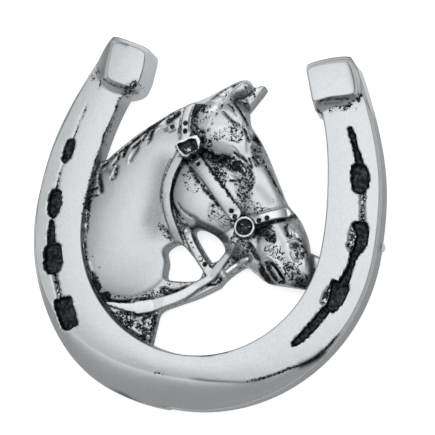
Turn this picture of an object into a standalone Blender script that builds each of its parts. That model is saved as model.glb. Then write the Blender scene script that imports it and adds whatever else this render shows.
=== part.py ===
"""A horseshoe ornament with a haltered horse's head in relief, cast in one piece.

It lies on its flat back, face up. +Z points out of the face, +Y towards the heels and +X to the right.
The pieces are worked out from the centre of the toe's arc, and the finished back is centred on the origin.
Lengths below are in millimetres.
"""

import math

import bmesh
import bpy
import numpy as np
from mathutils import Vector

MM = 0.001

# Shoe, seen from the front. The middle line is half an ellipse at the toe, then two branches that close in.
HALF_SPREAD = 29.75
TOE_REACH = 30.15
BRANCH_REACH = 34.6
BRANCH_CLOSING = 8.9
BRANCH_POWER = 2.2
WEB_TOE = 10.4
WEB_HEEL = 9.1
WEB_NARROWS_FROM = 57.0
WEB_NARROWS_TO = 76.0
THICKNESS = 5.1
CROWN = 0.18
FACE_SHARES = (0.0, 0.25, 0.5, 0.75, 1.0)
OUTER_DRAFT = 0.45
INNER_EDGE_ROUND = 0.3

# Bevel along the outer edge: broad at the toe, a fine edge along the branches.
BEVEL_TOE = 5.9
BEVEL_BRANCH = 0.7
BEVEL_RUN = 36.0
BEVEL_DROP_TOE = {"left": 1.5, "right": 2.5}
BEVEL_DROP_BRANCH = 0.35
BEVEL_SHARES = (0.34, 0.67, 1.0)
BEVEL_ROLL = 1.7

# The toe is fuller on the left, where it was filed less.
SWELL_AT = 15.0
SWELL_RUN = 12.5
SWELL = {"left": 1.2, "right": 0.0}

# Heel blocks. A point of their outlines is (how far short of the branch's end, how far outwards from its
# middle line). Their sides are hollow, steeper towards the top with a higher cove.
BLOCK_RISE = 2.1
BLOCK_DOME = 0.35
BLOCK_DOME_STEPS = (0.8, 0.45)
BLOCK_COVE = 1.6
BLOCK_SIDE_STEPS = (0.35, 0.7)
BLOCK_TOP = {
    "left": ((-0.9, -3.4), (-0.3, -4.6), (2.0, -5.9), (4.4, -6.7), (6.2, -6.8), (7.3, -5.6), (7.8, -3.6),
             (8.1, -1.8), (8.0, -0.5), (7.2, 0.3), (4.6, 1.6), (2.4, 2.8), (1.2, 2.8), (-0.1, 0.2)),
    "right": ((-1.2, -3.7), (-0.7, -4.7), (1.6, -5.1), (4.2, -5.4), (5.8, -5.5), (6.3, -4.7), (6.3, -2.4),
              (6.8, 0.2), (7.0, 1.8), (6.7, 2.8), (3.9, 3.4), (1.2, 3.4), (0.4, 2.7), (-0.6, -0.6)),
}
BLOCK_FOOT = {
    "left": ((-1.8, -2.8), (-1.4, -4.2), (1.2, -5.6), (4.2, -6.7), (6.8, -6.8), (8.8, -5.2), (10.1, -3.0),
             (10.5, -0.8), (9.7, 2.0), (8.3, 3.6), (4.2, 4.6), (1.0, 4.8), (0.1, 4.1), (-0.9, 1.0)),
    "right": ((-2.5, -3.4), (-1.9, -4.7), (1.0, -5.2), (4.4, -5.6), (7.4, -5.6), (8.4, -4.6), (8.3, -2.4),
              (8.4, -0.4), (8.1, 1.6), (7.4, 3.6), (4.4, 4.4), (0.4, 4.2), (-0.8, 3.6), (-1.9, 0.4)),
}
BRANCH_STOPS_SHORT = 1.5

# Nail creases. A pocket or a link is (distance from the toe, offset outwards, half width, half length).
# A power below one squares an outline's ends off, as a nail's head does.
POCKET_DEPTH = 1.3
POCKET_POWER = 0.45
LINK_DEPTH = 1.05
LINK_POWER = 0.75
POCKETS = {
    "right": ((60.7, 1.1, 1.65, 3.0), (49.7, 1.3, 1.8, 3.05), (37.8, 0.2, 1.85, 3.2)),
    "left": ((59.2, 1.35, 1.1, 3.1), (47.5, 1.2, 1.5, 3.0), (36.6, 1.2, 1.8, 3.05), (25.7, 1.85, 1.7, 3.2)),
}
LINKS = {
    "right": ((66.6, 0.6, 0.65, 3.9), (55.2, 1.6, 0.65, 3.0), (43.6, 0.75, 0.72, 3.2), (30.2, -0.4, 0.9, 5)),
    "left": ((42.2, 1.1, 0.62, 2.8), (31.2, 1.6, 0.62, 3.0)),
}

# Round lug at the back edge of the right branch.
LUG_RADIUS = 1.0
LUG_HEIGHT = 0.9
LUG_AT = 48.7
LUG_STANDS_OUT = 0.5

# Horse's head. It is drawn for an opening of this half width in a shoe this thick, and scaled with both.
DRAWN_FOR_HALF_OPENING = 24.55
DRAWN_FOR_THICKNESS = 5.1
EMBED = 1.6
NECK_JOINS_AT = 24.0
CHEST_JOINS_AT = 256.0
CREST = ((-22.3, 11.4), (-20.1, 13.9), (-16.4, 17.8), (-12.7, 21.0), (-9.4, 23.5), (-5.8, 25.4),
         (-3.4, 26.8))
NEAR_EAR = ((-0.3, 29.0), (3.0, 30.9), (4.5, 30.7), (5.3, 29.1))
FAR_EAR = ((6.8, 30.2), (7.8, 29.8), (6.4, 27.1), (5.0, 24.7))
FOREHEAD = ((5.8, 22.2), (8.1, 19.6), (10.6, 16.0), (13.8, 10.7), (15.9, 7.4), (18.6, 4.9), (20.8, 1.6),
            (21.9, -1.4))
MUZZLE_ROOT = ((24.6, -2.2), (26.2, -5.0), (24.9, -8.6))
JAW = ((17.0, -8.6), (14.7, -8.5), (12.7, -7.4), (10.2, -6.1), (8.4, -7.2), (6.5, -9.2), (5.4, -10.9))
LEAD_UNDERSIDE = ((1.4, -13.6), (-2.4, -15.6), (-5.6, -17.6), (-6.1, -20.6), (-6.3, -24.6))
THROAT_HOLE = ((-6.6, -5.4), (-5.9, -7.7), (-5.7, -10.6), (-3.8, -11.0), (0.6, -10.3), (1.7, -8.6),
               (0.9, -7.4), (-2.4, -4.3), (-4.6, -3.6))
JAW_HOLE = ((-1.4, -1.3), (-0.4, 0.0), (3.3, -1.1), (5.2, -2.9), (5.3, -4.4), (3.8, -6.1), (2.4, -5.8))

# Swells of the relief: (centre, half length, half breadth, turn in degrees, rim height, top height).
RELIEF_FLOOR = 3.0
BLEND = 3.0
SWELLS = (
    ((-14.5, 1.5), 19.0, 11.5, 72.0, 2.2, 4.9),
    ((-13.5, -8.0), 8.6, 7.6, 20.0, 3.0, 3.9),
    ((0.4, 6.4), 8.2, 7.2, -40.0, 4.0, 6.0),
    ((1.6, 19.8), 7.6, 5.4, -30.0, 4.4, 6.0),
    ((10.2, 8.6), 11.0, 4.6, -58.0, 3.6, 5.6),
    ((17.2, -2.6), 6.6, 4.6, -62.0, 4.1, 5.5),
    ((10.5, -2.4), 7.0, 3.6, -30.0, 3.0, 4.6),
    ((20.6, -4.6), 4.0, 2.6, -60.0, 2.6, 5.0),
    ((3.4, 28.6), 3.2, 1.4, 35.0, 3.0, 4.9),
)

# Ridges and grooves worked along a line: (points, half breadth, height, or depth as a negative height).
STROKES = {
    "crest": (CREST, 1.6, 0.9),
    "jowl": (((-5.4, 12.2), (-7.1, 8.6), (-7.2, 4.8), (-5.2, 1.6), (-2.2, -0.6)), 1.1, -1.3),
    "cheek_front": (((-2.2, 14.0), (2.6, 8.8), (6.6, 4.4)), 1.2, -0.7),
    "brow": (((-0.6, 17.2), (2.2, 16.8), (4.9, 15.9), (7.4, 13.6)), 1.3, 0.9),
    "eye_crease": (((-1.6, 15.4), (0.9, 15.1), (3.2, 14.4), (5.8, 12.6), (6.6, 11.0)), 1.1, -1.3),
    "temple": (((6.0, 19.6), (7.0, 16.6), (9.0, 13.2)), 1.1, -0.7),
    "face_crest": (((4.6, 10.6), (8.2, 8.2), (12.0, 5.0)), 1.2, 0.5),
    "nose_hollow": (((9.4, 11.4), (12.2, 8.0), (14.6, 5.4)), 1.0, -0.5),
    "under_noseband": (((10.6, 0.4), (13.2, 1.0), (16.0, 2.2)), 1.1, -1.2),
    "muzzle_ridge": (((14.6, 2.8), (17.4, 0.0), (19.0, -3.0)), 1.0, 0.8),
    "lips": (((13.4, -4.6), (15.2, -4.0), (17.6, -5.6), (19.8, -8.0)), 0.9, 0.7),
    "chin": (((12.2, -4.6), (13.8, -6.8), (16.0, -8.4)), 1.0, -0.8),
}
EDGE_ROLL = 0.9
EDGE_ROLL_WIDTH = 1.3

# Halter straps: (points along the middle, width).
STRAP_LIFT = 0.55
STRAP_THICKNESS = 1.3
STRAP_EDGE = 0.15
STRAPS = {
    "crown": (((-5.9, 24.4), (-6.6, 21.2), (-6.6, 18.6), (-5.6, 16.4)), 2.0),
    "throat": (((-5.4, 15.0), (-8.1, 11.1), (-9.1, 5.3), (-7.3, 0.4), (-4.3, -3.2)), 1.6),
    "cheek": (((-4.4, 14.8), (-0.5, 10.7), (3.3, 6.8), (6.3, 3.6), (8.4, 1.9)), 2.0),
    "nose": (((10.2, 1.9), (12.4, 3.1), (14.8, 4.2), (17.6, 5.1)), 1.8),
    "chin": (((8.4, 0.2), (7.3, -2.7), (6.0, -5.4), (4.6, -8.6)), 1.9),
    "latch": (((-3.2, -0.2), (-1.3, -2.7), (0.6, -4.9), (2.4, -7.2), (3.6, -9.2)), 1.9),
    "lead": (((5.4, -9.4), (1.4, -12.0), (-2.2, -14.2), (-6.8, -16.4), (-12.6, -17.6), (-17.0, -17.8)), 2.1),
    "jaw": (((6.2, -8.6), (8.6, -6.6), (10.4, -5.3)), 1.4),
}
PUNCH_RADIUS = 0.42
PUNCH_DEPTH = 0.6
PUNCHES = ((-6.6, 20.3), (-6.7, 19.0), (-3.7, 13.4), (-2.9, 12.2), (6.2, 4.0), (6.9, 2.8), (11.7, 2.7),
           (13.3, 3.4), (7.6, -1.2), (7.3, -2.2), (1.3, -6.1), (2.1, -7.0))
PLATE = ((-8.0, 16.6), (-5.6, 17.8), (-3.0, 18.2), (-2.4, 15.2), (-5.1, 12.9), (-7.2, 13.9))
PLATE_RISE = 1.5
PLATE_RECESS_SHARE = 0.62
RECESS_DEPTH = 1.1
RING_AT = (9.2, 1.2)
RING_RADIUS = 1.9
RING_RECESS_RADIUS = 1.3
RING_RISE = 1.6
STUD_AT = (-3.0, -0.6)
STUD_RADIUS = 0.75
STUD_RISE = 0.5

# Face: (centre, half length, half breadth, turn in degrees, depth or height).
EYE = ((5.3, 12.6), 1.7, 1.05, -30.0, 0.8)
EYE_SUNK = 0.1
SOCKET_MARGIN = 0.6
NOSTRIL = ((20.0, -1.8), 1.5, 1.0, -50.0, 1.0)
EAR_HOLLOW = ((2.6, 28.4), 2.6, 0.8, 35.0, 1.2)
MOUTH = ((14.2, -4.7), (16.2, -6.4), (18.3, -7.9))
MOUTH_WIDTH = 0.8
MOUTH_TAPER = (0.9, 1.0, 0.6)

# Mane, in locks that start on the crest and lie back.
MANE_STEPS = 8
MANE_SET_IN = 1.5
MANE_LOCK_LENGTH = 4.6
MANE_LOCK_RADIUS = 0.7
MANE_SWEEP = math.radians(-116.0)
MANE_CURL = 0.35
MANE_SUNK = 0.1
MANE_TAPER = ((0.0, 0.45), (0.35, 1.0), (0.7, 0.8), (1.0, 0.25))

# Making: how finely forms are divided, and how far a cutter runs past.
STATIONS_PER_SIDE = 30
LINE_STEPS = 600
BLOCK_STEPS = 2
CREASE_SIDES = 16
CURVE_SIDES = 2
ROUND_SIDES = 14
DOME_SIDES = 10
DOME_RINGS = 6
PUNCH_SIDES = 8
GRID_PITCH = 1.2
GRID_MARGIN = 1.0
SHORTEST_STEP = 0.3
WEB_ARC_POINTS = 16
OUTLINE_STEPS = 3
STRAP_STEPS = 2
CREST_STEPS = 6
CUT_CLEAR = 2.0
WELD = 1e-7
METAL_COLOUR = (0.62, 0.64, 0.66, 1.0)
METAL_ROUGHNESS = 0.32


def clear_scene():
    for thing in list(bpy.data.objects):
        bpy.data.objects.remove(thing, do_unlink=True)


def new_collection(name):
    collection = bpy.data.collections.new(name)
    bpy.context.scene.collection.children.link(collection)
    return collection


def metal():
    material = bpy.data.materials.new("antique_pewter")
    material.use_nodes = True
    shader = material.node_tree.nodes["Principled BSDF"]
    shader.inputs["Base Color"].default_value = METAL_COLOUR
    shader.inputs["Metallic"].default_value = 1.0
    shader.inputs["Roughness"].default_value = METAL_ROUGHNESS
    return material


def smooth_step(value):
    value = np.clip(value, 0.0, 1.0)
    return value * value * (3.0 - 2.0 * value)


# The shoe's middle line: distances from the toe, the points there and the directions outwards from it.
def middle_line():
    turn = np.linspace(0.0, math.pi / 2, LINE_STEPS)
    rise = np.linspace(0.0, BRANCH_REACH, LINE_STEPS)[1:]
    closing = BRANCH_CLOSING * (rise / BRANCH_REACH) ** BRANCH_POWER
    x = np.concatenate([HALF_SPREAD * np.sin(turn), HALF_SPREAD - closing])
    y = np.concatenate([-TOE_REACH * np.cos(turn), rise])
    distance = np.concatenate([[0.0], np.cumsum(np.hypot(np.diff(x), np.diff(y)))])
    along_x, along_y = np.gradient(x, distance), np.gradient(y, distance)
    return distance, x, y, along_y, -along_x


LINE_DISTANCE, LINE_X, LINE_Y, OUT_X, OUT_Y = middle_line()
BRANCH_END = float(LINE_DISTANCE[-1])


def on_shoe(distance, outwards, side="right"):
    """The point that lies this far from the toe along the middle line, and this far outwards from it."""
    past_end = max(distance - BRANCH_END, 0.0)
    rows = (LINE_X, LINE_Y, OUT_X, OUT_Y)
    x, y, out_x, out_y = (float(np.interp(distance, LINE_DISTANCE, row)) for row in rows)
    x += out_x * outwards - out_y * past_end
    y += out_y * outwards + out_x * past_end
    return (x if side == "right" else -x), y


def half_web(distance):
    narrowing = smooth_step((distance - WEB_NARROWS_FROM) / (WEB_NARROWS_TO - WEB_NARROWS_FROM))
    return (WEB_TOE + (WEB_HEEL - WEB_TOE) * narrowing) / 2


def shoe_section(distance, side):
    """The cross-section as (outwards, height) pairs, from the inner back edge over the face."""
    half = half_web(distance)
    fade = 1.0 - smooth_step(distance / BEVEL_RUN)
    swell = SWELL[side] * math.exp(-(((distance - SWELL_AT) / SWELL_RUN) ** 2))
    ridge = half - BEVEL_BRANCH - (BEVEL_TOE - BEVEL_BRANCH) * fade
    bevel = half + swell - ridge
    toe_drop = sum(BEVEL_DROP_TOE.values()) / 2
    toe_drop += (BEVEL_DROP_TOE[side] - toe_drop) * smooth_step(distance / SWELL_AT)
    drop = BEVEL_DROP_BRANCH + (toe_drop - BEVEL_DROP_BRANCH) * fade
    inner = -half + INNER_EDGE_ROUND
    face = [(inner + (ridge - inner) * share, THICKNESS + CROWN * math.sin(math.pi * share))
            for share in FACE_SHARES]
    outer = [(ridge + bevel * share, THICKNESS - drop * share ** BEVEL_ROLL) for share in BEVEL_SHARES]
    wall = [(-half, 0.0), (-half, THICKNESS - INNER_EDGE_ROUND)]
    return wall + face + outer + [(half + swell + OUTER_DRAFT, 0.0)]


def object_from(bm, name, collection, smooth=False):
    bmesh.ops.recalc_face_normals(bm, faces=bm.faces)
    for face in bm.faces:
        face.smooth = smooth
    mesh = bpy.data.meshes.new(name)
    bm.to_mesh(mesh)
    bm.free()
    made = bpy.data.objects.new(name, mesh)
    collection.objects.link(made)
    return made


def loft(rings, name, collection):
    """A solid through rings of the same number of points, each a list of (x, y, z) in millimetres."""
    bm = bmesh.new()
    rows = [[bm.verts.new(Vector(point) * MM) for point in ring] for ring in rings]
    for near, far in zip(rows, rows[1:]):
        for i in range(len(near)):
            j = (i + 1) % len(near)
            bm.faces.new((near[i], near[j], far[j], far[i]))
    bm.faces.new(rows[0])
    bm.faces.new(rows[-1])
    return object_from(bm, name, collection)


def shoe_body(collection):
    distances = np.linspace(0.0, BRANCH_END - BRANCH_STOPS_SHORT, STATIONS_PER_SIDE)
    rings = []
    for side, run in (("left", distances[::-1]), ("right", distances[1:])):
        for distance in run:
            section = shoe_section(distance, side)
            rings.append([(*on_shoe(distance, outwards, side), height) for outwards, height in section])
    return loft(rings, "horseshoe", collection)


def heel_block(side, collection):
    """A raised cushion on the branch's end, with a sheer inner side and hollow sloping ends."""
    def ring(outline, height, spread=0.0):
        half = half_web(BRANCH_END)
        places = [on_shoe(BRANCH_END - back, outwards + spread * max(outwards, 0.0) / half, side)
                  for back, outwards in along_curve(outline, BLOCK_STEPS, closed=True)]
        return [Vector((x, y, height)) for x, y in places]

    crest = THICKNESS + BLOCK_RISE
    foot = ring(BLOCK_FOOT[side], THICKNESS)
    top = ring(BLOCK_TOP[side], crest)
    centre = sum(top, Vector()) / len(top)
    rings = [ring(BLOCK_FOOT[side], 0.0, OUTER_DRAFT), foot]
    for share in BLOCK_SIDE_STEPS:
        height = THICKNESS + BLOCK_RISE * share ** BLOCK_COVE
        rings.append([(*low.lerp(high, share).xy, height) for low, high in zip(foot, top)])
    rings.append(top)
    for share in BLOCK_DOME_STEPS:
        rise = Vector((0.0, 0.0, BLOCK_DOME * (1.0 - share ** 2)))
        rings.append([point.lerp(centre, 1.0 - share) + rise for point in top])
    return loft(rings, "heel_block_" + side, collection)


def cut_outline(points, name, bottom, top, collection):
    """A flat outline as a closed curve, made into a solid between two heights."""
    curve = bpy.data.curves.new(name, "CURVE")
    curve.dimensions = "2D"
    curve.fill_mode = "BOTH"
    curve.extrude = (top - bottom) / 2 * MM
    spline = curve.splines.new("POLY")
    spline.points.add(len(points) - 1)
    for place, (x, y) in zip(spline.points, points):
        place.co = (x * MM, y * MM, 0.0, 1.0)
    spline.use_cyclic_u = True
    drawn = bpy.data.objects.new(name, curve)
    drawn.location.z = (top + bottom) / 2 * MM
    collection.objects.link(drawn)
    return as_mesh(drawn, collection)


def as_mesh(drawn, collection):
    """A mesh object in the place of a curve object, with the curve's loose caps welded on."""
    bpy.context.view_layer.update()
    graph = bpy.context.evaluated_depsgraph_get()
    mesh = bpy.data.meshes.new_from_object(drawn.evaluated_get(graph))
    bm = bmesh.new()
    bm.from_mesh(mesh)
    bmesh.ops.remove_doubles(bm, verts=bm.verts, dist=WELD)
    bmesh.ops.recalc_face_normals(bm, faces=bm.faces)
    bm.to_mesh(mesh)
    bm.free()
    name = drawn.name
    made = bpy.data.objects.new(name + "_solid", mesh)
    made.matrix_world = drawn.matrix_world
    bpy.data.objects.remove(drawn)
    collection.objects.link(made)
    return made


def crease_outline(side, distance, outwards, half_width, half_length, power):
    """A long rounded outline along the branch, squarer at its ends with a lower power."""
    points = []
    for turn in np.linspace(0.0, 2 * math.pi, CREASE_SIDES, endpoint=False):
        c, s = math.cos(turn), math.sin(turn)
        along = half_length * math.copysign(abs(c) ** power, c)
        across = half_width * math.copysign(abs(s) ** power, s)
        points.append(on_shoe(distance + along, outwards + across, side))
    return points


def crease_cutters(collection):
    cutters = []
    for side in ("left", "right"):
        kinds = (("pocket", POCKETS[side], POCKET_POWER, POCKET_DEPTH),
                 ("link", LINKS[side], LINK_POWER, LINK_DEPTH))
        for kind, rows, power, depth in kinds:
            for number, row in enumerate(rows):
                outline = crease_outline(side, *row, power)
                name = f"{side}_{kind}_{number + 1}"
                top = THICKNESS + CUT_CLEAR
                cutters.append(cut_outline(outline, name, THICKNESS - depth, top, collection))
    return cutters


# The head is drawn in its own millimetres, and this scale fits it to the shoe's opening.
def opening_half_width():
    return HALF_SPREAD - WEB_TOE / 2


def head_scale():
    return opening_half_width() / DRAWN_FOR_HALF_OPENING


def placed(point):
    return point[0] * head_scale(), point[1] * head_scale()


def along_curve(points, steps, closed=False):
    """Points on a smooth curve through the given ones."""
    count = len(points)
    at = [Vector((*point, 0.0)) for point in points]
    runs = count if closed else count - 1
    smooth = []
    for i in range(runs):
        if closed:
            a, b, c, d = at[i - 1], at[i], at[(i + 1) % count], at[(i + 2) % count]
        else:
            a, b, c, d = at[max(i - 1, 0)], at[i], at[i + 1], at[min(i + 2, count - 1)]
        for step in range(steps):
            t = step / steps
            bend = (2 * a - 5 * b + 4 * c - d) * t ** 2 + (3 * b - a - 3 * c + d) * t ** 3
            place = b + ((c - a) * t + bend) / 2
            smooth.append((place.x, place.y))
    return smooth if closed else smooth + [points[-1]]


def in_the_web():
    """The head's outline where it is buried in the left branch, from the chest to the crest."""
    places = []
    for degrees in np.linspace(CHEST_JOINS_AT, 180.0 - NECK_JOINS_AT, WEB_ARC_POINTS):
        turn = math.radians(degrees)
        across = (opening_half_width() + EMBED) * math.cos(turn)
        along = (TOE_REACH - WEB_TOE / 2 + EMBED) * math.sin(turn)
        places.append((across, along))
    return places


def head_outline():
    near_ear = CREST[-1:] + NEAR_EAR
    forehead = FAR_EAR[-1:] + FOREHEAD
    underside = JAW[-1:] + LEAD_UNDERSIDE
    free_edges = (CREST, near_ear, FAR_EAR, forehead, MUZZLE_ROOT, JAW, underside)
    points = []
    for edge in free_edges:
        for point in along_curve(edge, OUTLINE_STEPS):
            if not points or math.dist(points[-1], point) > SHORTEST_STEP:
                points.append(point)
    return [placed(point) for point in points] + in_the_web()


def distance_to_line(x, y, line):
    """How far each point of the arrays is from the nearest stretch of a line of points."""
    nearest = np.full(x.shape, np.inf)
    for (ax, ay), (bx, by) in zip(line, line[1:]):
        length = (bx - ax) ** 2 + (by - ay) ** 2
        share = np.clip(((x - ax) * (bx - ax) + (y - ay) * (by - ay)) / length, 0.0, 1.0)
        nearest = np.minimum(nearest, np.hypot(x - ax - share * (bx - ax), y - ay - share * (by - ay)))
    return nearest


def relief_height(x, y):
    """The height of the carved surface, before its edges are rolled over."""
    x, y = np.asarray(x) / head_scale(), np.asarray(y) / head_scale()
    total = np.exp(BLEND * RELIEF_FLOOR * np.ones_like(x))
    for (cx, cy), half_length, half_breadth, turn, rim, top in SWELLS:
        c, s = math.cos(math.radians(turn)), math.sin(math.radians(turn))
        along = ((x - cx) * c + (y - cy) * s) / half_length
        across = ((y - cy) * c - (x - cx) * s) / half_breadth
        inside = 1.0 - along ** 2 - across ** 2
        height = rim + (top - rim) * np.where(inside > 0, np.sqrt(np.maximum(inside, 0.0)), 2.0 * inside)
        total = total + np.exp(BLEND * np.maximum(height, 0.0))
    height = np.log(total) / BLEND
    for points, half_breadth, rise in STROKES.values():
        near = distance_to_line(x, y, along_curve(points, OUTLINE_STEPS)) / half_breadth
        height = height + rise * np.exp(-near ** 2)
    return height * THICKNESS / DRAWN_FOR_THICKNESS


def edged_height(x, y, outline):
    """The carved surface with its free edges rolled over."""
    inwards = np.clip(distance_to_line(x, y, outline + outline[:1]) / EDGE_ROLL_WIDTH, 0.0, 1.0)
    return relief_height(x, y) - EDGE_ROLL * (1.0 - inwards) ** 2


def head_relief(outline, collection):
    """A slab under the carved surface, larger than the head all round."""
    xs, ys = zip(*outline)
    columns = math.ceil((max(xs) - min(xs) + 2 * GRID_MARGIN) / GRID_PITCH)
    rows = math.ceil((max(ys) - min(ys) + 2 * GRID_MARGIN) / GRID_PITCH)
    bm = bmesh.new()
    bmesh.ops.create_grid(bm, x_segments=columns, y_segments=rows, size=0.5)
    spots = np.array([vertex.co[:2] for vertex in bm.verts])
    x = (min(xs) + max(xs)) / 2 + spots[:, 0] * columns * GRID_PITCH
    y = (min(ys) + max(ys)) / 2 + spots[:, 1] * rows * GRID_PITCH
    for vertex, *place in zip(bm.verts, x, y, edged_height(x, y, outline)):
        vertex.co = Vector(place) * MM
    rim = [edge for edge in bm.edges if edge.is_boundary]
    skirt = bmesh.ops.extrude_edge_only(bm, edges=rim)["geom"]
    for item in skirt:
        if isinstance(item, bmesh.types.BMVert):
            item.co.z = 0.0
    bmesh.ops.holes_fill(bm, edges=[edge for edge in bm.edges if edge.is_boundary])
    return object_from(bm, "horse_head", collection, smooth=True)


def trim_head(head, outline, collection):
    """Cuts the slab and its harness to the head's outline, and opens its two holes."""
    top = 2 * THICKNESS + CUT_CLEAR
    add_boolean(head, cut_outline(outline, "head_outline", -CUT_CLEAR, top, collection), "INTERSECT")
    for name, hole in (("throat_hole", THROAT_HOLE), ("jaw_hole", JAW_HOLE)):
        edge = [placed(point) for point in along_curve(hole, OUTLINE_STEPS, closed=True)]
        add_boolean(head, cut_outline(edge, name, -CUT_CLEAR, top, collection), "DIFFERENCE")


def add_boolean(target, other, operation, solver="MANIFOLD"):
    """Most pieces only graze the carved surface, and the manifold solver keeps it whole there."""
    modifier = target.modifiers.new(other.name, "BOOLEAN")
    modifier.operation = operation
    modifier.solver = solver
    modifier.object = other


def strap(name, points, width, collection):
    """A flat leather strap that follows the carved surface: the middle of it lies in the relief."""
    middle = np.array([placed(point) for point in along_curve(points, STRAP_STEPS)])
    along = np.gradient(middle, axis=0)
    along /= np.linalg.norm(along, axis=1)[:, None]
    side = np.stack([-along[:, 1], along[:, 0]], axis=1)
    top = relief_height(middle[:, 0], middle[:, 1]) + STRAP_LIFT
    half = width / 2
    flat = half - STRAP_EDGE
    section = ((-half, -STRAP_THICKNESS), (-half, -STRAP_EDGE), (-flat, 0.0),
               (flat, 0.0), (half, -STRAP_EDGE), (half, -STRAP_THICKNESS))
    rings = [[(x + sx * across, y + sy * across, height + rise) for across, rise in section]
             for (x, y), (sx, sy), height in zip(middle, side, top)]
    return loft(rings, "strap_" + name, collection)


def cylinder(name, at, radius, bottom, top, collection, sides=ROUND_SIDES):
    bm = bmesh.new()
    bmesh.ops.create_cone(bm, cap_ends=True, segments=sides, radius1=radius * MM, radius2=radius * MM,
                          depth=(top - bottom) * MM)
    made = object_from(bm, name, collection)
    made.location = (at[0] * MM, at[1] * MM, (top + bottom) / 2 * MM)
    return made


def dome(name, at, half_length, half_breadth, turn, half_height, middle, collection):
    """An egg-shaped body, to stand out of the surface or to be cut from it."""
    bm = bmesh.new()
    bmesh.ops.create_uvsphere(bm, u_segments=DOME_SIDES, v_segments=DOME_RINGS, radius=1.0)
    bmesh.ops.scale(bm, vec=Vector((half_length, half_breadth, half_height)) * MM, verts=bm.verts)
    made = object_from(bm, name, collection, smooth=True)
    made.rotation_euler.z = math.radians(turn)
    made.location = (at[0] * MM, at[1] * MM, middle * MM)
    return made


def tapered_lock(name, points, radii, collection):
    """A lock of hair, a mouth line or a like thin form: a tube whose thickness changes along it."""
    curve = bpy.data.curves.new(name, "CURVE")
    curve.dimensions = "3D"
    curve.bevel_depth = MM
    curve.bevel_resolution = CURVE_SIDES
    curve.use_fill_caps = True
    spline = curve.splines.new("POLY")
    spline.points.add(len(points) - 1)
    for place, point, radius in zip(spline.points, points, radii):
        place.co = (*(Vector(point) * MM), 1.0)
        place.radius = radius
    drawn = bpy.data.objects.new(name, curve)
    collection.objects.link(drawn)
    return as_mesh(drawn, collection)


def surface_at(point):
    return float(relief_height(*placed(point)))


def root_height():
    """Pieces that stand on the relief are rooted halfway down its lowest part."""
    return RELIEF_FLOOR / 2 * THICKNESS / DRAWN_FOR_THICKNESS


def mane(collection):
    """Locks that start on the crest and lie back over the neck."""
    crest = along_curve(CREST, CREST_STEPS)
    locks = []
    for number in range(MANE_STEPS):
        start = crest[len(crest) * (number + 1) // (MANE_STEPS + 1)]
        points = []
        radii = []
        for share, swell in MANE_TAPER:
            turn = MANE_SWEEP - MANE_CURL * share
            reach = MANE_SET_IN + MANE_LOCK_LENGTH * share
            place = (start[0] + reach * math.cos(turn), start[1] + reach * math.sin(turn))
            points.append((*placed(place), surface_at(place) - MANE_SUNK))
            radii.append(MANE_LOCK_RADIUS * swell)
        locks.append(tapered_lock(f"mane_lock_{number + 1}", points, radii, collection))
    return locks


def halter(collection):
    """What stands on the relief (straps, buckle plate, ring and stud) and what is cut into that."""
    raised = [strap(name, points, width, collection) for name, (points, width) in STRAPS.items()]
    plate = [placed(point) for point in PLATE]
    plate_top = THICKNESS + PLATE_RISE
    ring_top = THICKNESS + RING_RISE
    stud_top = THICKNESS + STUD_RISE
    root = root_height()
    raised.append(cut_outline(plate, "buckle_plate", root, plate_top, collection))
    raised.append(cylinder("halter_ring", placed(RING_AT), RING_RADIUS, root, ring_top, collection))
    raised.append(cylinder("stud", placed(STUD_AT), STUD_RADIUS, root, stud_top, collection))
    centre = np.mean(plate, axis=0)
    opening = [tuple(centre + (np.array(point) - centre) * PLATE_RECESS_SHARE) for point in plate]
    cut = [cut_outline(opening, "plate_recess", plate_top - RECESS_DEPTH, plate_top + CUT_CLEAR, collection),
           cylinder("ring_recess", placed(RING_AT), RING_RECESS_RADIUS, ring_top - RECESS_DEPTH,
                    ring_top + CUT_CLEAR, collection)]
    for number, place in enumerate(PUNCHES):
        top = surface_at(place) + STRAP_LIFT
        cut.append(cylinder(f"punch_{number + 1}", placed(place), PUNCH_RADIUS, top - PUNCH_DEPTH,
                            top + CUT_CLEAR, collection, PUNCH_SIDES))
    return raised, cut


def face_features(collection):
    """The eye stands in a socket. The nostril, the near ear's hollow and the mouth are cut."""
    centre, half_length, half_breadth, turn, height = EYE
    level = surface_at(centre)
    sizes = (half_length, half_breadth)
    eye = dome("eye", placed(centre), *sizes, turn, height, level - EYE_SUNK, collection)
    sizes = (half_length + SOCKET_MARGIN, half_breadth + SOCKET_MARGIN)
    cut = [dome("eye_socket", placed(centre), *sizes, turn, height, level + EYE_SUNK, collection)]
    for name, form in (("nostril", NOSTRIL), ("ear_hollow", EAR_HOLLOW)):
        centre, half_length, half_breadth, turn, depth = form
        level = surface_at(centre)
        cut.append(dome(name, placed(centre), half_length, half_breadth, turn, depth, level, collection))
    path = [(*placed(point), surface_at(point)) for point in MOUTH]
    cut.append(tapered_lock("mouth", path, [MOUTH_WIDTH * share for share in MOUTH_TAPER], collection))
    return eye, cut


def lug(collection):
    """The small round lug that shows past the right edge, flush with the back."""
    reach = half_web(LUG_AT) + OUTER_DRAFT + LUG_STANDS_OUT - LUG_RADIUS
    return cylinder("lug", on_shoe(LUG_AT, reach), LUG_RADIUS, 0.0, LUG_HEIGHT, collection)


def centre_on_origin(outermost, things, collection):
    """Hangs everything on an empty, and moves it so that the back of the outermost pieces is centred."""
    bpy.context.view_layer.update()
    corners = [piece.matrix_world @ Vector(corner) for piece in outermost for corner in piece.bound_box]
    middle_x, middle_y = ((min(values) + max(values)) / 2 for values in list(zip(*corners))[:2])
    toe_centre = bpy.data.objects.new("toe_centre", None)
    collection.objects.link(toe_centre)
    for thing in things:
        thing.parent = toe_centre
    toe_centre.location = (-middle_x, -middle_y, 0.0)


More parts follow.
